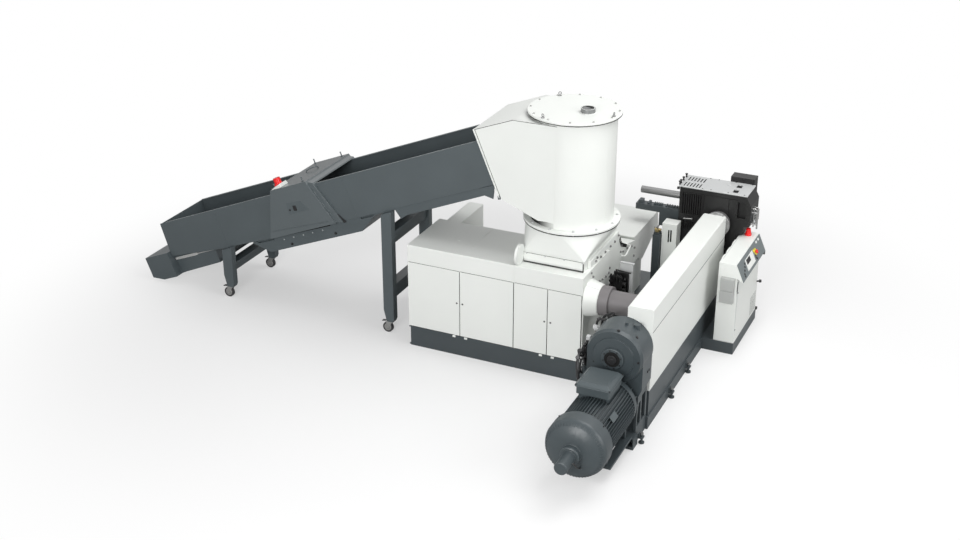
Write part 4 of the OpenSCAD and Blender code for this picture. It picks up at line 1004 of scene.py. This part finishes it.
# %% Detector fittings
work = bmesh.new()
add_plate(work, [up_slope(2010, 145, 300), up_slope(2215, 145, 285), up_slope(2290, 145, 165),
                 up_slope(1990, 145, 160)], Vector((0, -0.0025, 0)))
add_plate(work, [up_slope(1672, 145, 22), up_slope(2470, 145, -20), up_slope(2476, 145, -28),
                 up_slope(1668, 145, 12)], Vector((0, -0.004, 0)))
keep("detector_lid", work, trough_paint, MACHINE, bevel=0.001)
work = bmesh.new()
add_plate(work, [up_slope(2088, 142, 256), up_slope(2132, 142, 250), up_slope(2128, 142, 190),
                 up_slope(2084, 142, 194)], Vector((0, -0.006, 0)))
add_rod(work, up_slope(2030, 143, 214), up_slope(2030, 137, 214), 0.011)
keep("detector_latch", work, black_oxide, MACHINE, bevel=0.0015)
work = bmesh.new()
for u, y in ((1905, 200), (2310, 200), (1905, 1090), (2310, 1090)):
    foot = up_slope(u, y, 489)
    add_rod(work, foot, foot + slope_up * 0.008, 0.013)
    add_rod(work, foot, foot + slope_up * 0.052, 0.007)
    add_rod(work, foot + slope_up * 0.05, foot + slope_up * 0.058, 0.010, 0.007)
handle = [up_slope(2054, 660, 489), up_slope(2070, 664, 512), up_slope(2105, 680, 520),
          up_slope(2140, 715, 520), up_slope(2160, 755, 512), up_slope(2165, 775, 489)]
add_tube(work, handle, 0.006)
keep("detector_pins_and_grip", work, dark_paint, MACHINE, bevel=0.0)
work = bmesh.new()
low_ring = [up_slope(1872, 165, 489.5), up_slope(2010, 165, 489.5), up_slope(2010, 325, 489.5),
            up_slope(1872, 325, 489.5)]
high_ring = [up_slope(1880, 172, 497), up_slope(2004, 172, 534), up_slope(2004, 318, 534),
             up_slope(1880, 318, 497)]
ring_a = [work.verts.new(p) for p in low_ring]
ring_b = [work.verts.new(p) for p in high_ring]
for k in range(4):
    work.faces.new((ring_a[k], ring_a[(k + 1) % 4], ring_b[(k + 1) % 4], ring_b[k]))
work.faces.new(list(reversed(ring_a)))
work.faces.new(ring_b)
keep("lamp_wedge", work, white_paint, MACHINE, bevel=0.003)

# %% Detector tie bars and trough seams
work = bmesh.new()
for y in (194, 1085):
    add_plate(work, [up_slope(2560, y, 44), up_slope(2590, y, 44), up_slope(2676, y, -92),
                     up_slope(2640, y, -92)], Vector((0, 0.011, 0)))
    add_rod(work, up_slope(2575, y - 3, 34), up_slope(2575, y + 14, 34), 0.012)
    add_rod(work, up_slope(2655, y - 3, -82), up_slope(2655, y + 14, -82), 0.012)
keep("detector_tie_bars", work, black_oxide, MACHINE)
work = bmesh.new()
for u in (2826, 900):
    for y, way in ((205, -1), (1085, 1)):
        add_plate(work, [up_slope(u, y, -54), up_slope(u + 5, y, -54), up_slope(u + 5, y, 426),
                         up_slope(u, y, 426)], Vector((0, way * 0.0016, 0)))
keep("trough_sheet_joints", work, trough_paint, MACHINE, bevel=0.0005)

# %% [markdown]
# ## Casters
# Each caster has a domed hub cap with a nut, a bolted plate above the fork, and a brake pedal
# on the fork. The caps turn with the wheels and the pedals with the forks, so each is made
# once for every caster and rides on that body.

# %% Caster fittings
caster_spots = {1: (-2540.03, 187), 2: (-2540.03, 1103), 3: (-352, 187), 4: (-352, 1103)}
for k, (x, y) in caster_spots.items():
    work = bmesh.new()
    for way in (-1, 1):
        add_rod(work, at(x - 34, y + way * 19, 62.5), at(x - 34, y + way * 21.5, 62.5), 0.044, 0.040, sides=36)
    keep("caster_%d_hub_cap" % k, work, zinc, body_of("caster_wheel_%d" % k), bevel=0.001)
    work = bmesh.new()
    fork = body_of("caster_fork_%d" % k)
    add_plate(work, [at(x - 46, y - 20, 141), at(x - 104, y - 20, 128), at(x - 110, y - 20, 134),
                     at(x - 46, y - 20, 148)], Vector((0, 0.040, 0)))
    keep("caster_%d_pedal" % k, work, black_oxide, fork, bevel=0.002)
    work = bmesh.new()
    add_box(work, at(x - 50, y - 42, 145), at(x + 50, y + 42, 149.5))
    keep("caster_%d_plate" % k, work, zinc, MACHINE, bevel=0.002)
print("casters dressed:", len(caster_spots))

# %% [markdown]
# ## The drive side
# Between the cabinet and the gearbox sits a cluster of black oil pipes, gauges and unions. The
# gearbox shows a deep bore in its hub, darkened with painted shade, an oil level glass and a
# breather. The motor has cable glands under its terminal box, a lifting eye and a blank data plate.

# %% Hub bore and gearbox fittings
work = bmesh.new()
# Painted shade: a near-black lining and disc stand for the darkness deep in the bore.
add_rod(work, at(2733, -905, 930), at(2733, -800, 930), 0.073, sides=48)
add_rod(work, at(2733, -967.5, 930), at(2733, -969.4, 930), 0.082, sides=56)
keep("hub_bore_painted_shade", work, shade_and_seal_black, MACHINE, bevel=0.0)
work = bmesh.new()
add_rod(work, at(2733, -986, 930), at(2733, -902, 930), 0.048, sides=40)
add_rod(work, at(2733, -989, 930), at(2733, -985, 930), 0.014, 0.016, sides=24)
keep("output_shaft_end", work, black_oxide, MACHINE, bevel=0.002)
work = bmesh.new()
for y, a in ((-894, 84), (-822, 48)):
    out_way = Vector((math.cos(math.radians(a)), 0, math.sin(math.radians(a))))
    spot = at(2733, y, 930) + out_way * 0.295
    add_rod(work, spot - out_way * 0.004, spot + out_way * 0.005, 0.016)
    add_rod(work, spot, spot + out_way * 0.009, 0.010, sides=6)
for y in (-715, -668):
    add_rod(work, at(3024, y, 735), at(3031, y, 735), 0.013)
keep("gearbox_plugs", work, black_oxide, MACHINE, bevel=0.0015)

# %% Terminal box
def add_cast_box(work, low, high, corner, chamfer, steps=5):
    """A cast box: rounded upright corners and a chamfered top."""
    def outline(shrink, z):
        x0, y0, x1, y1 = low[0] + shrink, low[1] + shrink, high[0] - shrink, high[1] - shrink
        r = max(corner - shrink * 0.5, 0.004)
        points = []
        for cx, cy, start in ((x1 - r, y1 - r, 0), (x0 + r, y1 - r, 90), (x0 + r, y0 + r, 180),
                              (x1 - r, y0 + r, 270)):
            for k in range(steps + 1):
                t = math.radians(start + 90.0 * k / steps)
                points.append(work.verts.new((cx + r * math.cos(t), cy + r * math.sin(t), z)))
        return points
    rows = [outline(0.0, low[2]), outline(0.0, high[2] - chamfer), outline(chamfer, high[2])]
    count = len(rows[0])
    for a, b in zip(rows, rows[1:]):
        for k in range(count):
            j = (k + 1) % count
            work.faces.new((a[k], a[j], b[j], b[k]))
    work.faces.new(list(reversed(rows[0])))
    work.faces.new(rows[-1])


work = bmesh.new()
add_cast_box(work, at(2534, -1416, 745), at(2876, -1054, 826), 0.018, 0.004)
add_cast_box(work, at(2520, -1430, 824), at(2890, -1040, 838), 0.022, 0.003)
add_cast_box(work, at(2530, -1420, 837), at(2880, -1050, 873), 0.026, 0.030)
add_cast_box(work, at(2572, -1378, 870), at(2838, -1092, 875), 0.012, 0.003)
terminal_piece = keep("terminal_box_cast", work, box_paint, MACHINE, bevel=0.002)
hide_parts("terminal_box")

# %% Oil pipes beside the gearbox
def bend(points, r, into):
    """A smooth pipe through points given in mm, with one soft bend at each inner point."""
    corners = [at(*p) for p in points]
    path = [corners[0]]
    for before, here, after in zip(corners, corners[1:], corners[2:]):
        reach = min((before - here).length, (after - here).length) * 0.42
        a = here + (before - here).normalized() * reach
        b = here + (after - here).normalized() * reach
        path += [a.lerp(here, t).lerp(here.lerp(b, t), t) for t in (0.0, 0.2, 0.4, 0.6, 0.8, 1.0)]
    add_tube(into, path + [corners[-1]], r)


work = bmesh.new()
bend([(2520, -560, 1128), (2440, -540, 1115), (2402, -512, 1060), (2402, -500, 900), (2402, -500, 705)], 0.013, work)
bend([(2520, -400, 1128), (2430, -385, 1075), (2404, -372, 960), (2404, -372, 705)], 0.013, work)
bend([(2404, -345, 700), (2404, -300, 820), (2412, -110, 860), (2418, -98, 925)], 0.012, work)
bend([(2418, -905, 900), (2412, -1000, 968), (2424, -1090, 948), (2448, -1150, 870), (2466, -1160, 740),
      (2500, -1112, 600)], 0.013, work)
bend([(2410, -880, 862), (2398, -985, 905), (2404, -1060, 880), (2430, -1120, 800), (2452, -1130, 700),
      (2492, -1060, 610)], 0.012, work)
bend([(2404, -640, 705), (2400, -650, 860), (2396, -720, 930), (2404, -745, 948)], 0.013, work)
bend([(2404, -800, 705), (2394, -812, 780), (2400, -830, 852)], 0.014, work)
keep("oil_pipes_upper", work, black_oxide, MACHINE, bevel=0.0)
work = bmesh.new()
add_box(work, at(2392, -900, 846), at(2437, -742, 962))
add_box(work, at(2388, -150, 900), at(2438, -62, 962))
for y in (-885, -845, -805, -765):
    add_rod(work, at(2414, y, 960), at(2414, y, 990), 0.015, sides=20)
    add_rod(work, at(2392, y, 905), at(2370, y, 905), 0.016, sides=20)
for a, b, r in (((2412, -1000, 950), (2412, -1012, 986), 0.024), ((2424, -1082, 938), (2426, -1104, 950), 0.022),
                ((2452, -1152, 850), (2458, -1156, 806), 0.020), ((2466, -1160, 760), (2470, -1152, 716), 0.019),
                ((2440, -540, 1100), (2424, -530, 1118), 0.021), ((2404, -372, 860), (2404, -372, 905), 0.021)):
    add_rod(work, at(*a), at(*b), r, sides=20)
keep("oil_manifold", work, black_oxide, MACHINE, bevel=0.0025)
work = bmesh.new()
add_rod(work, at(2380, -506, 985), at(2424, -506, 1005), 0.036, sides=36)
add_rod(work, at(2372, -506, 981), at(2381, -506, 986), 0.020, sides=24)
add_box(work, at(2394, -792, 988), at(2434, -744, 1030))
add_box(work, at(2396, -930, 846), at(2404, -880, 880))
keep("oil_filter_and_switch", work, light_paint, MACHINE, bevel=0.003)

# %% Oil pipes and gauges
work = bmesh.new()
add_tube(work, [at(2398, -770, 705), at(2398, -770, 760), at(2390, -760, 790), at(2360, -700, 800),
                at(2345, -620, 790), at(2345, -560, 740), at(2350, -540, 690)], 0.014)
add_tube(work, [at(2380, -850, 640), at(2372, -868, 660), at(2368, -880, 720), at(2380, -870, 800),
                at(2430, -840, 850), at(2470, -800, 870)], 0.012)
add_tube(work, [at(2395, -500, 660), at(2395, -500, 740), at(2420, -520, 800), at(2470, -560, 880)], 0.012)
add_tube(work, [at(2360, -430, 600), at(2320, -380, 640), at(2290, -330, 720), at(2275, -300, 760)], 0.013)
keep("oil_pipes", work, black_oxide, MACHINE, bevel=0.0)
work = bmesh.new()
for a, b, r in (((2398, -770, 700), (2398, -770, 722), 0.022), ((2395, -500, 650), (2395, -500, 672), 0.02),
                ((2350, -556, 560), (2350, -556, 700), 0.016), ((2320, -700, 560), (2361, -700, 560), 0.03),
                ((2330, -600, 585), (2361, -600, 585), 0.022), ((2468, -800, 860), (2486, -800, 884), 0.018)):
    add_rod(work, at(*a), at(*b), r, sides=24)
for y in (-820, -640, -520):
    add_rod(work, at(2372, y, 640), at(2372, y, 668), 0.013, sides=6)
keep("oil_unions", work, bolt_steel, MACHINE, bevel=0.0015)
work = bmesh.new()
add_rod(work, at(2316, -690, 655), at(2334, -690, 655), 0.032, sides=32)
add_rod(work, at(2334, -690, 655), at(2362, -700, 600), 0.009)
add_box(work, at(2300, -480, 610), at(2366, -400, 668))
keep("oil_gauge_and_filter", work, light_paint, MACHINE, bevel=0.002)

# %% Motor fittings
work = bmesh.new()
for y in (-1330, -1260, -1190, -1120):
    add_rod(work, at(2534, y, 782), at(2506, y, 782), 0.017, sides=20)
    add_rod(work, at(2508, y, 782), at(2496, y, 778), 0.013, 0.009, sides=20)
add_tube(work, arc(at(2733, -1040, 757), Vector((0, 1, 0)), UP, 0.022, 0.0, math.tau * 23 / 24, 23), 0.006, closed=True)
add_rod(work, at(2733, -1040, 722), at(2733, -1040, 740), 0.014)
keep("cable_glands_and_eye", work, black_oxide, MACHINE, bevel=0.0)
work = bmesh.new()
turn = math.radians(38)
plate_mid = Vector((math.cos(turn), 0, math.sin(turn)))
plate_side = Vector((-math.sin(turn), 0, math.cos(turn)))
mid = at(2733, -1500, 455) + plate_mid * 0.287
add_plate(work, [mid + Vector((0, dy, 0)) + plate_side * ds for dy, ds in
                 ((-0.07, -0.035), (0.07, -0.035), (0.07, 0.035), (-0.07, 0.035))], plate_mid * 0.002)
keep("blank_data_plate", work, box_paint, MACHINE, bevel=0.0006)
work = bmesh.new()
add_tube(work, [at(2795, -2160, 455), at(2812, -2160, 452), at(2822, -2150, 440), at(2826, -2120, 400),
                at(2826, -2060, 350), at(2822, -2000, 320)], 0.007)
add_rod(work, at(2733, -2285, 455), at(2733, -2291.5, 455), 0.05, 0.049, sides=36)
keep("sensor_lead", work, black_oxide, MACHINE, bevel=0.0)

# %% [markdown]
# ## The intake and the valve
# A white cone leads from the cabinet to the extruder's intake pipe. It is wrapped from one
# sheet, whose lap shows as a short line. Behind it a black valve block hangs on a light plate.

# %% Cone lap and valve plate
work = bmesh.new()
lap = [math.radians(62), math.radians(63.2)]
for k in range(8):
    x0, x1 = 2062 + k * 17, 2062 + (k + 1) * 17
    ring_mid = []
    for x in (x0, x1):
        r = 205 + (168 - 205) * (x - 2055) / 150
        ring_mid.append([at(x, 180 - r * math.cos(t), 950 + r * math.sin(t)) for t in lap])
    out_way = Vector((0.24, -math.cos(lap[0]), math.sin(lap[0]))).normalized()
    add_plate(work, [ring_mid[0][0], ring_mid[0][1], ring_mid[1][1], ring_mid[1][0]], out_way * 0.002)
keep("cone_lap", work, light_paint, MACHINE, bevel=0.0)
work = bmesh.new()
add_box(work, at(2180, 806, 150), at(2330, 812, 1120))
add_box(work, at(2176, 806, 1112), at(2334, 850, 1120))
keep("valve_plate", work, light_paint, MACHINE, bevel=0.002)
work = bmesh.new()
for x in (2118, 2150, 2190, 2225):
    add_rod(work, at(x, 720, 860), at(x, 700, 1000), 0.017, sides=20)
    add_rod(work, at(x, 700, 998), at(x, 697, 1016), 0.010, sides=16)
for z in (760, 820, 880, 940):
    add_rod(work, at(2245, 770, z), at(2268, 770, z), 0.022, sides=20)
    add_rod(work, at(2120, 706, z), at(2120, 676, z), 0.020, sides=20)
add_tube(work, [at(2150, 790, 1010), at(2150, 770, 1040), at(2190, 740, 1052), at(2330, 736, 1046)], 0.008)
keep("valve_cylinders", work, black_paint, MACHINE, bevel=0.0015)

# %% [markdown]
# ## The melt filter's post and the rear
# The dark post carries a small brass valve with a steel lever. Behind it stands a white
# cabinet with a slotted pull, and the dark rail ends in two lugs.

# %% Post valve and cabinet pull
work = bmesh.new()
add_rod(work, at(2249, 1900, 1061), at(2249, 1900, 1100), 0.022)
add_rod(work, at(2215, 1900, 1090), at(2290, 1900, 1090), 0.016)
add_rod(work, at(2249, 1880, 1092), at(2249, 1850, 1092), 0.018)
keep("post_valve", work, brass, MACHINE, bevel=0.002)
work = bmesh.new()
add_rod(work, at(2249, 1900, 1098), at(2249, 1900, 1128), 0.008)
add_box(work, at(2240, 1862, 1122), at(2258, 1940, 1130))
add_rod(work, at(2212, 1900, 1062), at(2212, 1900, 1118), 0.006)
keep("post_lever", work, bolt_steel, MACHINE, bevel=0.001)
work = bmesh.new()
add_box(work, at(2402, 1896, 962), at(2418, 1899.5, 1108))
add_box(work, at(2378, 1884, 960), at(2392, 1890.3, 1110))
keep("filter_cabinet_pull", work, shade_and_seal_black, MACHINE, bevel=0.001)

# %% [markdown]
# ## The pelletizer
# The black housing has a bright pull bar on its front, small black catches along its left
# edge, a round cover on its light top, and bent rods with a grey disc on its right side.

# %% Pelletizer fittings
work = bmesh.new()
add_rod(work, at(2505, 2080, 1212), at(2505, 2062, 1212), 0.006)
add_rod(work, at(2595, 2080, 1222), at(2595, 2062, 1222), 0.006)
add_rod(work, at(2496, 2061, 1211), at(2604, 2061, 1223), 0.007)
keep("pelletizer_pull", work, zinc, MACHINE, bevel=0.001)
work = bmesh.new()
for y in (2098, 2145, 2240, 2352):
    add_rod(work, at(2420, y, 1604), at(2420, y, 1640), 0.011, 0.009)
    add_rod(work, at(2420, y, 1638), at(2420, y, 1650), 0.016)
add_rod(work, at(2418, 2100, 1560), at(2392, 2100, 1560), 0.016)
for x in (2690, 2790, 2990, 3180):
    for y in (2085, 2425):
        add_rod(work, at(x, y, 1604), at(x, y, 1608), 0.007)
keep("pelletizer_catches", work, black_oxide, MACHINE, bevel=0.0012)
work = bmesh.new()
add_rod(work, at(2940, 2334, 1603.8), at(2940, 2334, 1607), 0.036, sides=48)
add_box(work, at(2712, 2074, 1603.5), at(2716, 2430, 1606))
add_box(work, at(3108, 2074, 1603.5), at(3112, 2430, 1606))
keep("top_cover_disc", work, light_paint, MACHINE, bevel=0.001)
work = bmesh.new()
for y, z0, z1 in ((2180, 1245, 1420), (2280, 1250, 1400)):
    add_tube(work, [at(3264, y, z0), at(3300, y, z0), at(3312, y, z0 + 14), at(3312, y, z1 - 14),
                    at(3300, y, z1), at(3264, y, z1)], 0.007)
add_rod(work, at(3264, 2330, 1300), at(3280, 2330, 1300), 0.018, sides=32)
keep("side_rods", work, zinc, MACHINE, bevel=0.001)

# %% Melt flange bolts
melt_bolts = bolts("melt_flange_bolts", [at(2910 + 128 * math.cos(math.radians(a)), 1990.5, 1235 + 128 * math.sin(math.radians(a)))
                                         for a in range(20, 380, 40)],
                   FRONT, 0.020, 0.010, 0.024, bolt_steel)

# %% [markdown]
# ## The control panel
# The sloped grey desk carries a pale control sheet with a dark display, a column of small
# buttons, a red mushroom button on a yellow plate, and two white labels without words. The
# desk's own plane is measured by s down the slope and y along the panel.

# %% Desk fittings
desk_top = at(3340, 0, 1101)
desk_run = (at(3433, 0, 893) - desk_top).normalized()
desk_out = Vector((-desk_run.z, 0, desk_run.x))


def on_desk(s, y, lift=7.0):
    """A point on the desk: s mm down its slope, y mm along, lifted off its sheet."""
    return at(3340, y, 1101) + desk_run * (s / 1000.0) + desk_out * (lift / 1000.0)


def desk_plate(work, s0, s1, y0, y1, lift, thick):
    add_plate(work, [on_desk(s0, y0, lift), on_desk(s1, y0, lift), on_desk(s1, y1, lift),
                     on_desk(s0, y1, lift)], desk_out * (thick / 1000.0))


work = bmesh.new()
desk_plate(work, 52, 185, 1560, 1860, 6.8, 3.0)
desk_plate(work, 22, 48, 2040, 2090, 6.8, 1.5)
desk_plate(work, 22, 48, 2130, 2180, 6.8, 1.5)
keep("control_sheet", work, white_paint, MACHINE, bevel=0.001)
work = bmesh.new()
desk_plate(work, 62, 120, 1588, 1730, 9.6, 2.5)
keep("display", work, screen_glass, MACHINE, bevel=0.001)
work = bmesh.new()
for s, y in ((75, 1520), (105, 1495), (134, 1460), (164, 1426), (190, 1423), (167, 1914), (140, 1914),
             (185, 1935)):
    add_rod(work, on_desk(s, y, 6.5), on_desk(s, y, 13), 0.0125, 0.0115, sides=24)
keep("desk_buttons", work, black_oxide, MACHINE, bevel=0.001)
work = bmesh.new()
add_rod(work, on_desk(108, 1950, 6.8), on_desk(108, 1950, 9.5), 0.042, sides=40)
desk_plate(work, 60, 92, 1880, 1915, 6.8, 2.0)
keep("stop_button_plate", work, yellow_plastic, MACHINE, bevel=0.001)
work = bmesh.new()
add_rod(work, on_desk(108, 1950, 9.0), on_desk(108, 1950, 24), 0.014, sides=28)
add_rod(work, on_desk(108, 1950, 22), on_desk(108, 1950, 34), 0.026, 0.022, sides=36)
keep("stop_button", work, red_lens, MACHINE, bevel=0.003)

# %% Panel side fittings
work = bmesh.new()
add_rod(work, at(3368, 2240, 503), at(3400, 2262, 503), 0.010, sides=20)
add_rod(work, at(3398, 2261, 503), at(3420, 2270, 503), 0.020, 0.017, sides=28)
add_box(work, at(3388, 2258, 848), at(3430, 2284, 888))
add_box(work, at(3372, 2258, 130), at(3398, 2290, 160))
for z in (300, 760):
    add_rod(work, at(3370, 1330, z), at(3381, 1330, z), 0.009, sides=20)
keep("panel_knobs", work, black_oxide, MACHINE, bevel=0.0015)
work = bmesh.new()
add_box(work, at(3376, 1310, 145), at(3379.5, 1313, 930))
add_box(work, at(3152, 1303.4, 146), at(3372, 1305.2, 150))
add_box(work, at(3160, 1400, 1100.8), at(3165, 2240, 1102.2))
keep("panel_sheet_joints", work, light_paint, MACHINE, bevel=0.0005)
work = bmesh.new()
for z0 in (650, 800):
    add_box(work, at(3196, 1244.5, z0), at(3336, 1247.5, z0 + 130))
    add_box(work, at(3256, 1241, z0 + 4), at(3276, 1245, z0 + 14))
keep("socket_lids", work, grey_plastic, MACHINE, bevel=0.002)
